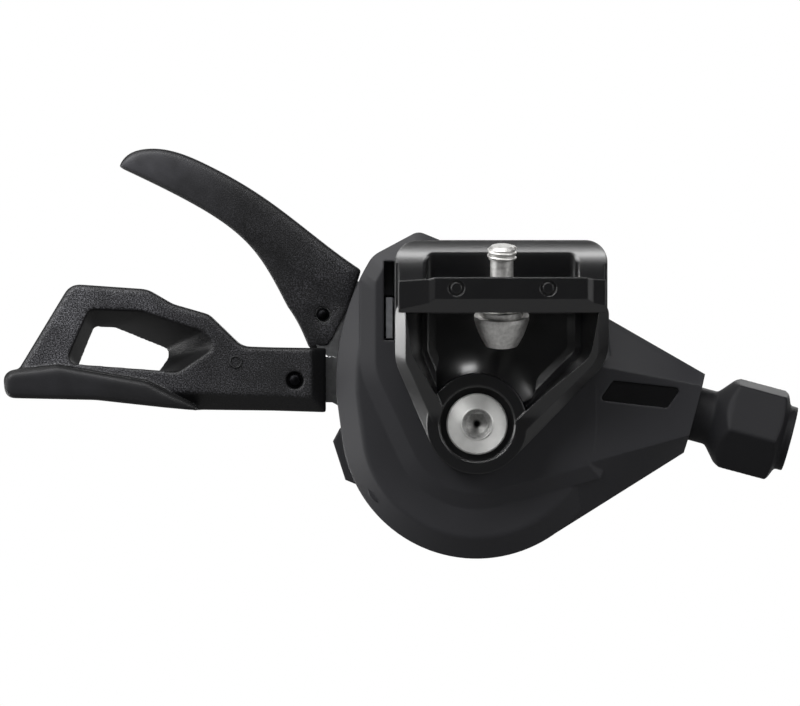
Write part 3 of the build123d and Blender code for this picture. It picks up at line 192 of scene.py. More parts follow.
world = bpy.data.worlds.new("studio_dome")
bpy.context.scene.world = world
world.use_nodes = True
tree = world.node_tree
tree.nodes.clear()
seen = add(tree, "ShaderNodeLightPath")
straight = add(tree, "ShaderNodeMath", {
    0: seen.outputs["Is Camera Ray"], 1: seen.outputs["Is Transmission Ray"]}, operation="MAXIMUM")
heading = add(tree, "ShaderNodeSeparateXYZ", {
    "Vector": add(tree, "ShaderNodeTexCoord").outputs["Generated"]})
mirrored = add(tree, "ShaderNodeMapRange", {
    "Value": heading.outputs["Y"], "From Min": BACKDROP_START, "From Max": BACKDROP_FULL,
    "To Min": ROOM_MIRRORED, "To Max": 1.0})
unseen = add(tree, "ShaderNodeMix", {
    0: seen.outputs["Is Glossy Ray"], 2: DOME_STRENGTH, 3: mirrored.outputs[0]})
strength = add(tree, "ShaderNodeMix", {0: straight.outputs[0], 2: unseen.outputs[0], 3: 1.0})
dome = add(tree, "ShaderNodeBackground", {"Color": linear("#ffffff"), "Strength": strength.outputs[0]})
add(tree, "ShaderNodeOutputWorld", {"Surface": dome.outputs[0]})

# %% [markdown]
# Each soft box is there for a face that mirrors it. The key stands to the upper left, the strips light
# the saddle's curve, the small card the left rim of the bracket, and the box on the right the nose.

# %% Soft boxes
def soft_box(name, place, size, watts):
    lamp = bpy.data.lights.new(name, "AREA")
    lamp.shape = "RECTANGLE"
    lamp.size, lamp.size_y = size
    lamp.energy = watts
    box = put(name, lamp)
    box.location = place
    box.rotation_euler = (Vector((aim_x, 0, aim_z)) - Vector(place)).to_track_quat("-Z", "Y").to_euler()
    box.visible_camera = False


soft_box("key_box", (aim_x - 0.5, -0.55, aim_z + 0.5), (0.4, 0.4), 6.0)
soft_box("front_top_strip", (aim_x - 0.04, -0.34, aim_z + 0.6), (0.6, 0.12), 3.3)
soft_box("back_top_strip", (aim_x - 0.25, 0.22, aim_z + 0.6), (0.3, 0.08), 1.0)
soft_box("left_box", (aim_x - 0.68, -0.1, aim_z + 0.1), (0.3, 0.3), 2.2)
soft_box("low_left_card", (aim_x - 0.17, 0.08, aim_z - 0.07), (0.06, 0.06), 0.2)
soft_box("right_box", (aim_x + 0.6, -0.4, aim_z + 0.2), (0.3, 0.5), 2.4)
soft_box("back_box", (aim_x + 0.3, 0.8, aim_z + 0.45), (0.5, 0.4), 2.0)

bpy.context.scene.view_settings.view_transform = "Standard"

# %% [markdown]
# ## Finishes
# Each finish starts from what the real piece is made of. The colour, the gloss and the fine relief
# of the surface are three separate things, so most materials below have a colour with a little
# variation, a roughness with a little variation, and a bump at the size of the real texture.

# %% A material with a Principled shader
def new_material(name, edge_mm=0.25):
    made = bpy.data.materials.new(name)
    made.use_nodes = True
    tree = made.node_tree
    tree.nodes.clear()
    place = add(tree, "ShaderNodeTexCoord").outputs["Object"]
    edge = add(tree, "ShaderNodeBevel", {"Radius": edge_mm * MM}, samples=6).outputs[0]
    return made, tree, place, edge


def finish(tree, **sockets):
    shader = add(tree, "ShaderNodeBsdfPrincipled", {k.replace("_", " "): v for k, v in sockets.items()})
    add(tree, "ShaderNodeOutputMaterial", {"Surface": shader.outputs["BSDF"]})


def per_mm(size_mm):
    """Texture scale for a pattern that repeats about every size_mm."""
    return 1 / (size_mm * MM)


# %% [markdown]
# ### The bracket's paint
# The bracket is a light-alloy casting with a thin coat of black paint. Paint on metal has two layers of
# gloss: the pigment below and a clear skin above. A coat on the shader gives the second one, and a low
# bump gives the orange peel that breaks up long highlights.

# %% Satin black paint on die-cast metal
def satin_black_paint():
    """Thin paint on a casting: near black, with a soft clear sheen and a slight orange peel."""
    made, tree, place, edge = new_material("satin_black_paint_on_die_cast_alloy", edge_mm=0.35)
    peel = add(tree, "ShaderNodeTexNoise", {"Vector": place, "Scale": per_mm(0.8), "Detail": 2.0})
    cloud = add(tree, "ShaderNodeTexNoise", {"Vector": place, "Scale": per_mm(9.0), "Detail": 3.0})
    gloss = add(tree, "ShaderNodeMapRange", {"Value": cloud.outputs["Fac"], "To Min": 0.26, "To Max": 0.34})
    shade = add(tree, "ShaderNodeMix", {
        0: cloud.outputs["Fac"], 6: linear("#060607"), 7: linear("#0b0b0d")}, data_type="RGBA")
    relief = add(tree, "ShaderNodeBump", {
        "Height": peel.outputs["Fac"], "Strength": 0.06, "Distance": 0.05 * MM, "Normal": edge})
    finish(tree, Base_Color=shade.outputs[2], Roughness=gloss.outputs[0], IOR=1.55,
           Coat_Weight=0.5, Coat_Roughness=0.22, Normal=relief.outputs[0])
    return made


# %% [markdown]
# ### The covers' nylon
# The covers come from a mould whose walls were eroded by sparks, which leaves an even, fine grain. The
# grain is a small bump; the glass fibres in the nylon make the surface rough, so there is no coat.

# %% Matte charcoal moulded nylon
def matte_charcoal_nylon():
    """Glass-filled nylon from a fine spark-eroded mould: dark grey, matte, with a faint even grain."""
    made, tree, place, edge = new_material("matte_charcoal_moulded_nylon", edge_mm=0.5)
    grain = add(tree, "ShaderNodeTexNoise", {"Vector": place, "Scale": per_mm(0.3), "Detail": 2.0})
    cloud = add(tree, "ShaderNodeTexNoise", {"Vector": place, "Scale": per_mm(12.0), "Detail": 2.0})
    gloss = add(tree, "ShaderNodeMapRange", {"Value": cloud.outputs["Fac"], "To Min": 0.48, "To Max": 0.58})
    shade = add(tree, "ShaderNodeMix", {
        0: cloud.outputs["Fac"], 6: linear("#1d1d20"), 7: linear("#232326")}, data_type="RGBA")
    relief = add(tree, "ShaderNodeBump", {
        "Height": grain.outputs["Fac"], "Strength": 0.12, "Distance": 0.04 * MM, "Normal": edge})
    finish(tree, Base_Color=shade.outputs[2], Roughness=gloss.outputs[0], IOR=1.53,
           Specular_IOR_Level=0.3, Normal=relief.outputs[0])
    return made


# %% [markdown]
# ### The levers' nylon
# Only the front of each lever has the coarse texture; its walls and the places that a thumb wears are
# smooth. One noise makes the pits, and two masks say where they are deep: one from the way a face
# looks, one from its place along the lever. Both levers share the function with other limits.

# %% Textured black nylon of the levers
def lever_nylon(name, along, smooth_at, coarse_at, shaded_x, lit_x, pale="#242427"):
    """Black nylon whose front face has a spark texture; the glitter of its fine specks is painted
    highlight.

    The texture fades out between two places along one axis, toward the polished touch surfaces, and
    its grain is painted paler toward the free end of the lever: painted light, where that end catches more
    light.
    """
    made, tree, place, edge = new_material(name, edge_mm=0.12)
    # The real pits are about 0.1 mm wide; they are drawn at 0.2 mm to show at this size
    pits = add(tree, "ShaderNodeTexNoise", {
        "Vector": place, "Scale": per_mm(0.2), "Detail": 1.0, "Roughness": 0.4})
    cloud = add(tree, "ShaderNodeTexNoise", {"Vector": place, "Scale": per_mm(4.0), "Detail": 2.0})
    where = add(tree, "ShaderNodeSeparateXYZ", {"Vector": place})
    touch = add(tree, "ShaderNodeMapRange", {
        "Value": where.outputs[along], "From Min": smooth_at, "From Max": coarse_at})
    # Painted light: this share makes the colour paler toward the lever's free end, which catches more light
    lit_share = add(tree, "ShaderNodeMapRange", {
        "Value": where.outputs["X"], "From Min": shaded_x, "From Max": lit_x})
    facing = add(tree, "ShaderNodeSeparateXYZ", {
        "Vector": add(tree, "ShaderNodeTexCoord").outputs["Normal"]})
    flat = add(tree, "ShaderNodeMapRange", {
        "Value": facing.outputs["Y"], "From Min": -0.6, "From Max": -0.95})
    coarse = add(tree, "ShaderNodeMath", {0: flat.outputs[0], 1: touch.outputs[0]}, operation="MULTIPLY")
    depth = add(tree, "ShaderNodeMapRange", {"Value": coarse.outputs[0], "To Min": 0.1, "To Max": 0.8})
    gloss = add(tree, "ShaderNodeMapRange", {"Value": flat.outputs[0], "To Min": 0.55, "To Max": 0.42})
    # Painted highlight: the tops of the pits are coloured pale grey as the glints of the spark texture
    peaks = add(tree, "ShaderNodeMapRange", {
        "Value": pits.outputs["Fac"], "From Min": 0.42, "From Max": 0.72})
    specks = add(tree, "ShaderNodeMath", {0: peaks.outputs[0], 1: coarse.outputs[0]}, operation="MULTIPLY")
    valley = add(tree, "ShaderNodeMix", {
        0: lit_share.outputs[0], 6: linear("#151516"), 7: linear(pale)}, data_type="RGBA")
    glint_tone = add(tree, "ShaderNodeMix", {
        0: lit_share.outputs[0], 6: linear("#4a4a4e"), 7: linear("#808085")}, data_type="RGBA")
    grain = add(tree, "ShaderNodeMix", {
        0: specks.outputs[0], 6: valley.outputs[2], 7: glint_tone.outputs[2]}, data_type="RGBA")
    walls = add(tree, "ShaderNodeMix", {
        0: flat.outputs[0], 6: linear("#070708"), 7: grain.outputs[2]}, data_type="RGBA")
    tone = add(tree, "ShaderNodeMix", {
        0: cloud.outputs["Fac"], 6: walls.outputs[2], 7: linear("#121213")}, data_type="RGBA")
    relief = add(tree, "ShaderNodeBump", {
        "Height": pits.outputs["Fac"], "Strength": depth.outputs[0], "Distance": 0.1 * MM, "Normal": edge})
    finish(tree, Base_Color=tone.outputs[2], Roughness=gloss.outputs[0], IOR=1.53,
           Specular_IOR_Level=0.25, Normal=relief.outputs[0])
    return made


bar_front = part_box("release_paddle")[0].y
loop_end, loop_root = [corner.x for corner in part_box("release_paddle")]
claw_tip, claw_root = [corner.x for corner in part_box("main_paddle")]
# Painted light: the grain is painted paler toward the loop's outer end, and a painted highlight lightens
# the claw's tip
loop_nylon = lever_nylon(
    "spark_textured_black_nylon", "Y", bar_front + 3 * MM, bar_front + 5 * MM,
    shaded_x=loop_end + 0.6 * (loop_root - loop_end), lit_x=loop_end + 0.25 * (loop_root - loop_end))
claw_nylon = lever_nylon(
    "worn_smooth_black_nylon", "X", claw_tip + 0.2 * (claw_root - claw_tip), claw_root,
    shaded_x=claw_tip + 0.5 * (claw_root - claw_tip), lit_x=claw_tip, pale="#505054")

# %% [markdown]
# ### The adjuster's acetal
# The knob is a turning part, so it is moulded in slippery acetal. It has a smoother grain than the
# covers and a broad, weak sheen.

# %% Satin plastic of the adjuster
def satin_grey_acetal():
    """Acetal from a polished mould: dark grey with a broad satin sheen."""
    made, tree, place, edge = new_material("satin_dark_grey_moulded_acetal", edge_mm=0.5)
    cloud = add(tree, "ShaderNodeTexNoise", {"Vector": place, "Scale": per_mm(6.0), "Detail": 2.0})
    grain = add(tree, "ShaderNodeTexNoise", {"Vector": place, "Scale": per_mm(0.35), "Detail": 2.0})
    gloss = add(tree, "ShaderNodeMapRange", {"Value": cloud.outputs["Fac"], "To Min": 0.55, "To Max": 0.65})
    shade = add(tree, "ShaderNodeMix", {
        0: cloud.outputs["Fac"], 6: linear("#121214"), 7: linear("#17171a")}, data_type="RGBA")
    relief = add(tree, "ShaderNodeBump", {
        "Height": grain.outputs["Fac"], "Strength": 0.1, "Distance": 0.03 * MM, "Normal": edge})
    finish(tree, Base_Color=shade.outputs[2], Roughness=gloss.outputs[0], IOR=1.48,
           Specular_IOR_Level=0.22, Normal=relief.outputs[0])
    return made


# %% [markdown]
# ### The panel in the nose
# A thin lacquered panel is let into the nose. It is the only really smooth plastic here, so it shows as
# a black patch that mirrors the dark room. It is left bare.

# %% Gloss black panel
def gloss_black_panel():
    """A bare lacquered panel let into the nose: black and shiny, with the faint wave of a thin film."""
    made, tree, place, edge = new_material("gloss_black_lacquered_panel")
    wave = add(tree, "ShaderNodeTexNoise", {"Vector": place, "Scale": per_mm(3.0), "Detail": 1.0})
    gloss = add(tree, "ShaderNodeMapRange", {"Value": wave.outputs["Fac"], "To Min": 0.1, "To Max": 0.18})
    shade = add(tree, "ShaderNodeMix", {
        0: wave.outputs["Fac"], 6: linear("#09090a"), 7: linear("#0f0f10")}, data_type="RGBA")
    relief = add(tree, "ShaderNodeBump", {
        "Height": wave.outputs["Fac"], "Strength": 0.04, "Distance": 0.05 * MM, "Normal": edge})
    finish(tree, Base_Color=shade.outputs[2], Roughness=gloss.outputs[0], IOR=1.5,
           Coat_Weight=0.4, Coat_Roughness=0.08, Normal=relief.outputs[0])
    return made


# %% [markdown]
# ### The axle bolt's turned face
# A face that was cut on a lathe scatters light across its rings, not along them. An anisotropic gloss
# with its direction running round the axle does that in one setting, and rings in the bump add the
# tool marks that can be seen.

# %% Turned steel with a bright plating
def turned_plated_steel():
    """A lathe leaves fine rings round the bolt's axis, which fan the light out in bright sectors."""
    made, tree, place, edge = new_material("turned_bright_plated_steel", edge_mm=0.08)
    centred = add(tree, "ShaderNodeMapping", {"Vector": place, "Location": -axle})
    split = add(tree, "ShaderNodeSeparateXYZ", {"Vector": centred.outputs[0]})
    flat = add(tree, "ShaderNodeCombineXYZ", {"X": split.outputs["X"], "Y": split.outputs["Z"]})
    away = add(tree, "ShaderNodeVectorMath", {0: flat.outputs[0]}, operation="LENGTH")
    # Real tool marks are about 0.05 mm apart; they are drawn at 0.2 mm to show at this size
    turns = add(tree, "ShaderNodeMath", {
        0: away.outputs["Value"], 1: 2 * pi * per_mm(0.2)}, operation="MULTIPLY")
    rings = add(tree, "ShaderNodeMath", {0: turns.outputs[0]}, operation="SINE")
    stain = add(tree, "ShaderNodeTexNoise", {"Vector": place, "Scale": per_mm(1.6), "Detail": 3.0})
    gloss = add(tree, "ShaderNodeMapRange", {"Value": stain.outputs["Fac"], "To Min": 0.54, "To Max": 0.7})
    shade = add(tree, "ShaderNodeMix", {
        0: stain.outputs["Fac"], 6: linear("#d4d4d2"), 7: linear("#f2f2f0")}, data_type="RGBA")
    # Painted shade: the dished middle is painted darker, with a mottled grain, and the point of the socket
    # is painted near black, as the shade in the recess
    recess_shade = add(tree, "ShaderNodeMapRange", {
        "Value": away.outputs["Value"], "From Min": 2.4 * MM, "From Max": 2.2 * MM, "To Max": 0.75})
    point = add(tree, "ShaderNodeMapRange", {
        "Value": away.outputs["Value"], "From Min": 0.75 * MM, "From Max": 0.35 * MM})
    mottle = add(tree, "ShaderNodeTexNoise", {"Vector": place, "Scale": per_mm(0.5), "Detail": 2.0})
    dull = add(tree, "ShaderNodeMix", {
        0: mottle.outputs["Fac"], 6: linear("#2c2c2c"), 7: linear("#b0b0ae")}, data_type="RGBA")
    recess_shaded = add(tree, "ShaderNodeMix", {
        0: recess_shade.outputs[0], 6: shade.outputs[2], 7: dull.outputs[2]}, data_type="RGBA")
    tone = add(tree, "ShaderNodeMix", {
        0: point.outputs[0], 6: recess_shaded.outputs[2], 7: linear("#0c0c0c")}, data_type="RGBA")
    relief = add(tree, "ShaderNodeBump", {
        "Height": rings.outputs[0], "Strength": 0.03, "Distance": 0.02 * MM, "Normal": edge})
    round_axis = add(tree, "ShaderNodeTangent", direction_type="RADIAL", axis="Y")
    finish(tree, Base_Color=tone.outputs[2], Metallic=1.0, Roughness=gloss.outputs[0],
           Anisotropic=0.6, Anisotropic_Rotation=0.25, Tangent=round_axis.outputs[0],
           Normal=relief.outputs[0])
    return made


# %% [markdown]
# ### The other metals
# Zinc plating, blanked sheet, ground steel, spring wire, bronze and alloy differ only in colour, gloss
# and grain. One function with those as its inputs makes them all.

# %% Plain metals, told apart by their colour, gloss and grain
def worn_metal(name, dull, bright, rough, grain_mm, relief_depth, edge_mm=0.12):
    """A metal surface with a grain of about grain_mm between its dull and its bright places."""
    made, tree, place, edge = new_material(name, edge_mm)
    grain = add(tree, "ShaderNodeTexNoise", {"Vector": place, "Scale": per_mm(grain_mm), "Detail": 4.0})
    gloss = add(tree, "ShaderNodeMapRange", {
        "Value": grain.outputs["Fac"], "To Min": rough[0], "To Max": rough[1]})
    shade = add(tree, "ShaderNodeMix", {
        0: grain.outputs["Fac"], 6: linear(dull), 7: linear(bright)}, data_type="RGBA")
    relief = add(tree, "ShaderNodeBump", {
        "Height": grain.outputs["Fac"], "Strength": relief_depth, "Distance": 0.05 * MM, "Normal": edge})
    finish(tree, Base_Color=shade.outputs[2], Metallic=1.0, Roughness=gloss.outputs[0],
           Normal=relief.outputs[0])
    return made


zinc_steel = worn_metal("zinc_plated_forged_steel", "#a8a7a4", "#fbfaf8", (0.36, 0.66), 0.6, 1.0)
blanked_steel = worn_metal("blanked_bright_steel", "#8f9092", "#b9babb", (0.28, 0.4), 0.5, 0.15)
dull_steel = worn_metal(
    "phosphated_sheet_steel", "#606164", "#8a8b8e", (0.5, 0.65), 0.8, 0.3, edge_mm=0.02)
wheel_steel = worn_metal("hardened_ground_steel", "#5d5d61", "#808084", (0.3, 0.45), 0.6, 0.15)
wire_steel = worn_metal("drawn_spring_wire", "#65666a", "#909195", (0.25, 0.38), 0.4, 0.1)
bronze = worn_metal("sintered_bronze", "#8a6a36", "#b8935a", (0.35, 0.5), 0.3, 0.3)
black_oxide = worn_metal("black_oxide_steel", "#0e0e0f", "#1d1d1f", (0.35, 0.5), 0.4, 0.2)
alloy = worn_metal("turned_alloy", "#9a9b9e", "#c0c1c4", (0.25, 0.38), 0.5, 0.12)

# %% [markdown]
# ### The spool's acetal
# Inside, the spool and the click ring are of the same plastic without pigment, which is milky white.

# %% Pale acetal of the spool
def pale_acetal():
    """Natural acetal: milky, slightly warm and waxy."""
    made, tree, place, edge = new_material("natural_moulded_acetal")
    cloud = add(tree, "ShaderNodeTexNoise", {"Vector": place, "Scale": per_mm(5.0), "Detail": 2.0})
    shade = add(tree, "ShaderNodeMix", {
        0: cloud.outputs["Fac"], 6: linear("#c2bfb6"), 7: linear("#d0cdc5")}, data_type="RGBA")
    gloss = add(tree, "ShaderNodeMapRange", {"Value": cloud.outputs["Fac"], "To Min": 0.38, "To Max": 0.48})
    finish(tree, Base_Color=shade.outputs[2], Roughness=gloss.outputs[0], IOR=1.48)
    return made


# %% [markdown]
# ### Which piece has which finish
# A table from finish to pieces is easy to check against the real thing. The last line tells whether a
# solid was forgotten.

# %% Give every solid its finish
bracket_paint = satin_black_paint()
knob_acetal = satin_grey_acetal()
finishes = {
    bracket_paint: ("bracket",),
    matte_charcoal_nylon(): ("front_cover", "rear_cover", "access_cap"),
    loop_nylon: ("release_paddle",),
    claw_nylon: ("main_paddle",),
    knob_acetal: ("adjuster_knob",),
    gloss_black_panel(): ("label_panel",),
    turned_plated_steel(): ("axle_bolt",),
    zinc_steel: ("clamp_bolt", "clamp_washer", "cover_screws"),
    blanked_steel: ("release_plate", "main_plate", "axle_washer", "axle_nut"),
    dull_steel: ("base_plate",),
    wheel_steel: ("index_wheel", "drive_ratchet", "hold_pawl", "drive_pawl", "hold_pawl_pin",
                  "drive_pawl_pin", "spring_post", "axle_sleeve"),
    black_oxide: ("release_rivet", "main_rivet"),
    wire_steel: ("hold_pawl_spring", "release_spring", "spool_spring", "main_spring", "click_spring"),
    pale_acetal(): ("cable_spool", "click_ring"),
    bronze: ("main_bush", "release_bush", "adjuster_insert"),
    alloy: ("adjuster_core",),
}
for material, nodes in finishes.items():
    for node in nodes:
        mesh = frame["nodes"][node].data
        mesh.materials.clear()
        mesh.materials.append(material)
dressed = {node for nodes in finishes.values() for node in nodes}
print("dressed:", len(dressed), "left bare:", sorted(set(frame["nodes"]) - dressed))

# %% [markdown]
# ## Moulded levers and knob
# A thumb finds no sharp edge on these moulded pieces: each crease runs out in a soft round. The solids
# have the main shape with crisp creases. Rounding those one by one is slow and often fails, so a
# copy is wrapped in a fine even skin, and smoothing then lets all creases flow at once.

# %% Pieces with soft creases
SAME_POINT = 0.001 * MM


def moulded(node, skin_mm, passes, crown_passes, body, material):
    """A softened copy of one solid, which stands for it.

    Smoothing in depth alone crowns the faces and leaves the outline as it is; a last round in all
    directions then takes out the steps that it leaves along the edges.
    """
    mesh = frame["nodes"][node].data.copy()
    joined = bmesh.new()
    joined.from_mesh(mesh)
    bmesh.ops.remove_doubles(joined, verts=joined.verts, dist=SAME_POINT)
    joined.to_mesh(mesh)
    joined.free()
    carrier = put(node + "_carrier", mesh)
    skin = carrier.modifiers.new("skin", "REMESH")
    skin.mode = "VOXEL"
    skin.voxel_size = skin_mm * MM
    skin.use_smooth_shade = True
    rounds = [("soften", passes, True)]
    if crown_passes:
        rounds += [("crown", crown_passes, False), ("settle", passes, True)]
    for title, count, all_ways in rounds:
        smoothing = carrier.modifiers.new(title, "SMOOTH")
        smoothing.use_x = smoothing.use_z = all_ways
        smoothing.factor = 0.5
        smoothing.iterations = count
    evaluated = carrier.evaluated_get(bpy.context.evaluated_depsgraph_get())
    soft = bpy.data.meshes.new_from_object(evaluated)
    bpy.data.objects.remove(carrier)
    soft.materials.clear()
    soft.materials.append(material)
    piece = put(node + "_moulded", soft)
    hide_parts(node)
    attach(piece, body)
    print(piece.name, "faces:", len(soft.polygons))
    return piece


loop = moulded("release_paddle", 0.25, 12, 0, "release_lever", loop_nylon)
claw = moulded("main_paddle", 0.25, 8, 100, "main_lever", claw_nylon)
knob = moulded("adjuster_knob", 0.2, 6, 0, "adjuster", knob_acetal)

# %% [markdown]
# ## How far the knob is turned
# The knob has six flats, and it stops wherever the rider leaves it. In the photograph one of its
# corners points almost at us, so the copy is turned about the adjuster's own axis. Smoothing made it
# slimmer, so its outside is filled out again; the neck and the bore keep their size.

# %% Turn the knob and fill it out
KNOB_TURN, KNOB_FILL = radians(-22), 0.11
NECK_END, FLATS_START = 2.5 * MM, 5.5 * MM
BORE_R, OUTSIDE_R = 3.4 * MM, 5.0 * MM


def share(value, start, end):
    """How far a value has come from start to end, held between 0 and 1."""
    return min(1, max(0, (value - start) / (end - start)))


screw = next(joint for joint in frame["joints"] if joint["name"] == "adjuster_turn")
screw_axis, screw_place = Vector(screw["axis"]), Vector(screw["pos_m"])
to_screw = Matrix.Translation(screw_place)
knob.data.transform(to_screw @ Matrix.Rotation(KNOB_TURN, 4, screw_axis) @ to_screw.inverted())
for point in knob.data.vertices:
    along = (point.co - screw_place).dot(screw_axis)
    outward = point.co - screw_place - along * screw_axis
    past_neck = share(along, NECK_END, FLATS_START)
    past_bore = share(outward.length, BORE_R, OUTSIDE_R)
    point.co += outward * KNOB_FILL * past_neck * past_bore
print("knob turned about", [round(c, 3) for c in screw_axis])

# %% [markdown]
# ## What smoothing took away
# Smoothing draws every outline in by a fraction of a millimetre, most where a lever is slim. The real
# levers are that much fuller, so the points are moved sideways along their normals again. The share
# fades out toward the root and round the rivet, where the lever has to fit its neighbours.

# %% Fill the levers out again
LOOP_FILL, CLAW_FILL = 0.3 * MM, 0.55 * MM
LOOP_FADE_START = loop_root - (loop_root - loop_end) / 6
LOOP_FADE_END = loop_root - (loop_root - loop_end) / 2
RIVET_CLEAR, RIVET_FADED = 3.2 * MM, 5.2 * MM


def fill_out(piece, amount, rivet, fullness):
    """Move each point sideways along its normal, by the amount times the fullness at its x."""
    rivet_place = middle(rivet)
    moves = []
    for point in piece.data.vertices:
        away = point.co - rivet_place
        clear = share(Vector((away.x, away.z)).length, RIVET_CLEAR, RIVET_FADED)
        sideways = Vector((point.normal.x, 0, point.normal.z))
        moves.append(sideways * amount * clear * fullness(point.co.x))
    for point, move in zip(piece.data.vertices, moves):
        point.co += move


def loop_fullness(x):
    """None at the root, full over the outer half."""
    return share(x, LOOP_FADE_START, LOOP_FADE_END)


def claw_fullness(x):
    """None at the tip and at the root, full half way."""
    return max(0, sin(pi * (x - claw_tip) / (claw_root - claw_tip)))


fill_out(loop, LOOP_FILL, "release_rivet", loop_fullness)
fill_out(claw, CLAW_FILL, "main_rivet", claw_fullness)
print("levers filled out by up to", LOOP_FILL / MM, "and", CLAW_FILL / MM, "mm")

# %% [markdown]
# ## The claw's tip
# Smoothing pulls a slim tip back a little, and the real tip is blunt and a trifle longer. Every point
# of the last stretch is moved on by a share that grows toward the end, so the curve stays fair.

# %% Draw the claw's tip out again
TIP_LENGTH = 22 * MM
TIP_MOVE = Vector((-0.85, 0, 0.3)) * MM

for point in claw.data.vertices:
    toward_tip = max(0.0, 1 - (point.co.x - claw_tip) / TIP_LENGTH)
    point.co += TIP_MOVE * toward_tip ** 2
print("claw tip at", round(min(point.co.x for point in claw.data.vertices) / MM, 1), "mm")

# %% [markdown]
# ## Small turned shapes
# A thread is a helix, and a helix is a rule: so many turns of one pitch round an axis. Geometry Nodes
# can follow such a rule from a few named sizes, where modelling each ridge by hand could not. One
# function makes a tree with named inputs, a second one runs it once and keeps a plain mesh.

# %% Run a Geometry Nodes tree once
def new_tree(name, inputs):
    tree = bpy.data.node_groups.new(name, "GeometryNodeTree")
    tree.interface.new_socket("Geometry", in_out="OUTPUT", socket_type="NodeSocketGeometry")
    for label, kind in inputs.items():
        tree.interface.new_socket(label, in_out="INPUT", socket_type="NodeSocket" + kind)
    return tree, add(tree, "NodeGroupInput").outputs


def end_tree(tree, shape, material):
    """Close a tree: instances become real faces, and the faces get their finish."""
    smooth = add(tree, "GeometryNodeSetShadeSmooth", {"Geometry": shape})
    real = add(tree, "GeometryNodeRealizeInstances", {"Geometry": smooth.outputs[0]})
    dressed = add(tree, "GeometryNodeSetMaterial", {"Geometry": real.outputs[0], "Material": material})
    add(tree, "NodeGroupOutput", {"Geometry": dressed.outputs[0]})


def run_tree(tree, name, values):
    """The tree's result for these values, as one plain mesh object."""
    carrier = put(name + "_carrier", bpy.data.meshes.new(name + "_carrier"))
    modifier = carrier.modifiers.new("rule", "NODES")
    modifier.node_group = tree
    for socket in tree.interface.items_tree:
        if socket.in_out == "INPUT":
            modifier[socket.identifier] = values[socket.name]
    evaluated = carrier.evaluated_get(bpy.context.evaluated_depsgraph_get())
    mesh = bpy.data.meshes.new_from_object(evaluated)
    mesh.name = name
    bpy.data.objects.remove(carrier)
    piece = put(name, mesh)
    print(name, "faces:", len(mesh.polygons))
    return piece


# %% [markdown]
# ## Thread on the clamp bolt's tip
# The clamp bolt leans toward us, and the last turns of its thread stand clear of the saddle. They
# catch the light as two bright ridges. The lean is given, and the end of the thread is read from the
# bolt itself: the points that lie furthest along the lean are its end face.

# %% Thread ridges
BOLT_LEAN = radians(15)
THREAD_PITCH, THREAD_TURNS = 0.75 * MM, 2.0
THREAD_R, RIDGE_R = 2.0 * MM, 0.24 * MM
THREAD_START = 0.35 * MM
END_FACE_SLACK = 0.01 * MM

bolt_axis = Vector((0, -sin(BOLT_LEAN), cos(BOLT_LEAN)))
bolt_points = [point.co for point in frame["nodes"]["clamp_bolt"].data.vertices]
reach = max(point.dot(bolt_axis) for point in bolt_points)
end_face = [point for point in bolt_points if point.dot(bolt_axis) > reach - END_FACE_SLACK]
bolt_tip = sum(end_face, Vector()) / len(end_face)

tree, sizes = new_tree("thread_ridges", {
    "Pitch": "Float", "Turns": "Float", "Radius": "Float", "Ridge": "Float", "Place": "Vector",
    "Turned": "Rotation", "Finish": "Material"})
rise = add(tree, "ShaderNodeMath", {0: sizes["Pitch"], 1: sizes["Turns"]}, operation="MULTIPLY")
helix = add(tree, "GeometryNodeCurveSpiral", {
    "Resolution": 48, "Rotations": sizes["Turns"], "Start Radius": sizes["Radius"],
    "End Radius": sizes["Radius"], "Height": rise.outputs[0]})
crest = add(tree, "GeometryNodeCurvePrimitiveCircle", {"Resolution": 10, "Radius": sizes["Ridge"]})
ridge = add(tree, "GeometryNodeCurveToMesh", {
    "Curve": helix.outputs[0], "Profile Curve": crest.outputs[0], "Fill Caps": True})
placed = add(tree, "GeometryNodeTransform", {
    "Geometry": ridge.outputs[0], "Translation": sizes["Place"], "Rotation": sizes["Turned"]})
end_tree(tree, placed.outputs[0], sizes["Finish"])
thread_low = bolt_tip - bolt_axis * (THREAD_START + THREAD_PITCH * THREAD_TURNS)
thread = run_tree(tree, "clamp_bolt_thread", {
    "Pitch": THREAD_PITCH, "Turns": THREAD_TURNS, "Radius": THREAD_R, "Ridge": RIDGE_R,
    "Place": thread_low, "Turned": (BOLT_LEAN, 0, 0), "Finish": zinc_steel})
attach(thread, "clamp")

# %% [markdown]
# ## Domed rivet heads
# Each lever's nylon is riveted to its steel plate. A rivet head is a flattened ball that sits in a
# round recess. Both heads come from the same tree, with a different place and size.

# %% Rivet heads
HEAD_SHARE, HEAD_RISE = 0.72, 0.5

tree, sizes = new_tree("rivet_head", {
    "Radius": "Float", "Rise": "Float", "Place": "Vector", "Finish": "Material"})
ball = add(tree, "GeometryNodeMeshUVSphere", {"Segments": 32, "Rings": 16, "Radius": sizes["Radius"]})
squash = add(tree, "ShaderNodeCombineXYZ", {"X": 1.0, "Y": sizes["Rise"], "Z": 1.0})
dome_head = add(tree, "GeometryNodeTransform", {
    "Geometry": ball.outputs["Mesh"], "Translation": sizes["Place"], "Scale": squash.outputs[0]})
end_tree(tree, dome_head.outputs[0], sizes["Finish"])
for node, body in (("release_rivet", "release_lever"), ("main_rivet", "main_lever")):
    low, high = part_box(node)
    place = (low + high) / 2
    place.y = low.y
    head = run_tree(tree, node + "_head", {
        "Radius": HEAD_SHARE * (high.x - low.x) / 2, "Rise": HEAD_RISE, "Place": place,
        "Finish": black_oxide})
    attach(head, body)

# %% [markdown]
# ## Mould mark on the loop's arm
# A small ring stands in the arm's face where a mould insert met the nylon. A circle with a thin round
# section, half sunk into the face, is all it takes.

# %% Ring mark
MARK_PLACE = (-36.7 * MM, 9.4 * MM)
MARK_R, MARK_SECTION = 0.85 * MM, 0.18 * MM


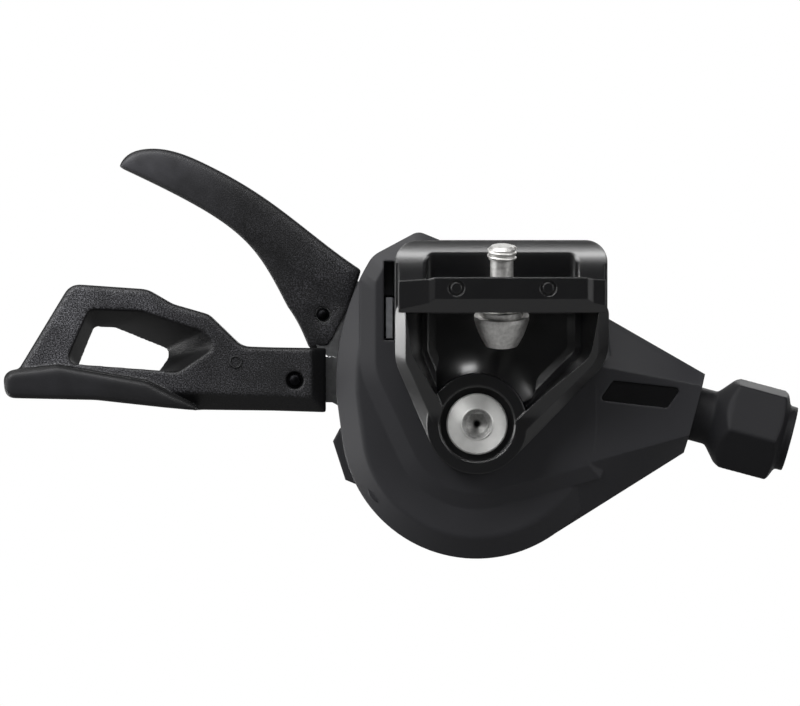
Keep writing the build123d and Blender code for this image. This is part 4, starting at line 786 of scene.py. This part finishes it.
def face_at(mesh, x, z):
    """Where a straight look from the front meets a mesh."""
    net = BVHTree.FromPolygons(
        [point.co for point in mesh.vertices], [face.vertices for face in mesh.polygons])
    return net.ray_cast(Vector((x, cad_low.y - 1, z)), Vector((0, 1, 0)))[0]


tree, sizes = new_tree("ring_mark", {
    "Radius": "Float", "Section": "Float", "Place": "Vector", "Finish": "Material"})
circle = add(tree, "GeometryNodeCurvePrimitiveCircle", {"Resolution": 40, "Radius": sizes["Radius"]})
section = add(tree, "GeometryNodeCurvePrimitiveCircle", {"Resolution": 10, "Radius": sizes["Section"]})
ring = add(tree, "GeometryNodeCurveToMesh", {
    "Curve": circle.outputs[0], "Profile Curve": section.outputs[0]})
upright = add(tree, "GeometryNodeTransform", {
    "Geometry": ring.outputs[0], "Translation": sizes["Place"], "Rotation": (pi / 2, 0, 0)})
end_tree(tree, upright.outputs[0], sizes["Finish"])
mark = run_tree(tree, "loop_ring_mark", {
    "Radius": MARK_R, "Section": MARK_SECTION, "Finish": loop_nylon,
    "Place": face_at(loop.data, axle.x + MARK_PLACE[0], axle.z + MARK_PLACE[1])})
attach(mark, "release_lever")

# %% [markdown]
# ## The boss's flared foot
# In the pocket of the bracket the casting sweeps up to the round boss in a wide hollow curve, which
# catches the light as a soft glow. One hollow profile, repeated round part of the boss, makes it; the
# ends of the sweep are hidden inside the pocket's walls.

# %% Flared foot
BOSS_R, FLARE_W, FLARE_H = 7.6 * MM, 4.6 * MM, 1.7 * MM
FLARE_FROM, FLARE_TO, FLARE_STEPS, FLARE_POINTS = 25, 140, 60, 16
FLARE_SUNK, FLARE_RUNOUT, FLARE_RIM = 0.3 * MM, 0.7 * MM, 0.05 * MM
FLOOR_PROBE_X = 2 * MM
CREASE = radians(30)

pocket_floor = face_at(
    frame["nodes"]["bracket"].data, axle.x + FLOOR_PROBE_X, axle.z + BOSS_R + FLARE_W).y
flare_end = BOSS_R + FLARE_W + FLARE_RUNOUT
profile = [(BOSS_R - FLARE_SUNK, FLARE_SUNK), (flare_end, FLARE_SUNK), (flare_end, FLARE_RIM)]
for step in range(FLARE_POINTS + 1):
    inward = step / FLARE_POINTS
    profile.append((BOSS_R + FLARE_W * (1 - inward), -FLARE_H * inward ** 2))
profile.append((BOSS_R - FLARE_SUNK, -FLARE_H))
points, faces = [], []
for turn in range(FLARE_STEPS + 1):
    angle = radians(FLARE_FROM + (FLARE_TO - FLARE_FROM) * turn / FLARE_STEPS)
    for away, lift in profile:
        points.append((axle.x + away * cos(angle), pocket_floor + lift, axle.z + away * sin(angle)))
count = len(profile)
for turn in range(FLARE_STEPS):
    for k in range(count):
        here, beside = turn * count + k, turn * count + (k + 1) % count
        faces.append((here, beside, beside + count, here + count))
faces += [tuple(range(count)), tuple(range(len(points) - count, len(points)))]
flare_mesh = bpy.data.meshes.new("boss_flare")
flare_mesh.from_pydata(points, [], faces)
solid = bmesh.new()
solid.from_mesh(flare_mesh)
bmesh.ops.recalc_face_normals(solid, faces=solid.faces)
solid.to_mesh(flare_mesh)
solid.free()
flare_mesh.shade_smooth()
flare_mesh.set_sharp_from_angle(angle=CREASE)
flare_mesh.materials.append(bracket_paint)
flare = put("boss_flare", flare_mesh)
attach(flare, "housing")
print("flare faces:", len(faces))

# %% [markdown]
# ## Painted shade behind the slot
# The base plate's tab stands in a slot of the front cover. A black strip behind the slot is painted
# shade: it stands for the dark inside of the cover, so that no white shows past the tab. It is a block with
# rounded edges.

# %% Painted shade strip
SHADE_STRIP_W, SHADE_STRIP_T, SHADE_STRIP_H, SHADE_STRIP_EDGE = 2.6 * MM, 0.5 * MM, 7.8 * MM, 0.15 * MM
SHADE_STRIP_PLACE, SHADE_STRIP_GAP = (-13.3 * MM, 16.9 * MM), 0.1 * MM


def black_shade_strip_finish():
    """Painted shade: black, without gloss, with a short soft nap."""
    made, tree, place, edge = new_material("black_matte_shade_strip")
    nap = add(tree, "ShaderNodeTexNoise", {"Vector": place, "Scale": per_mm(0.25), "Detail": 3.0})
    shade = add(tree, "ShaderNodeMix", {
        0: nap.outputs["Fac"], 6: linear("#060606"), 7: linear("#121212")}, data_type="RGBA")
    relief = add(tree, "ShaderNodeBump", {
        "Height": nap.outputs["Fac"], "Strength": 0.5, "Distance": 0.08 * MM, "Normal": edge})
    finish(tree, Base_Color=shade.outputs[2], Roughness=0.95, IOR=1.5, Normal=relief.outputs[0])
    return made


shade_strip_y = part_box("base_plate")[1].y + SHADE_STRIP_GAP
block = bmesh.new()
bmesh.ops.create_cube(block, size=1)
bmesh.ops.scale(block, verts=block.verts, vec=(SHADE_STRIP_W, SHADE_STRIP_T, SHADE_STRIP_H))
bmesh.ops.bevel(block, geom=block.edges[:], offset=SHADE_STRIP_EDGE, segments=3, affect="EDGES")
bmesh.ops.translate(block, verts=block.verts, vec=(
    axle.x + SHADE_STRIP_PLACE[0], shade_strip_y + SHADE_STRIP_T / 2, axle.z + SHADE_STRIP_PLACE[1]))
shade_strip_mesh = bpy.data.meshes.new("painted_shade_strip")
block.to_mesh(shade_strip_mesh)
block.free()
shade_strip_mesh.materials.append(black_shade_strip_finish())
shade_strip = put("painted_shade_strip", shade_strip_mesh)
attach(shade_strip, "housing")
print("seal faces:", len(shade_strip_mesh.polygons))

# %% [markdown]
# ## The end
# The box of the dressed part is measured at the end, as the box of the solids was at the start.

# %% Measure the dressed part's box
low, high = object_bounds()
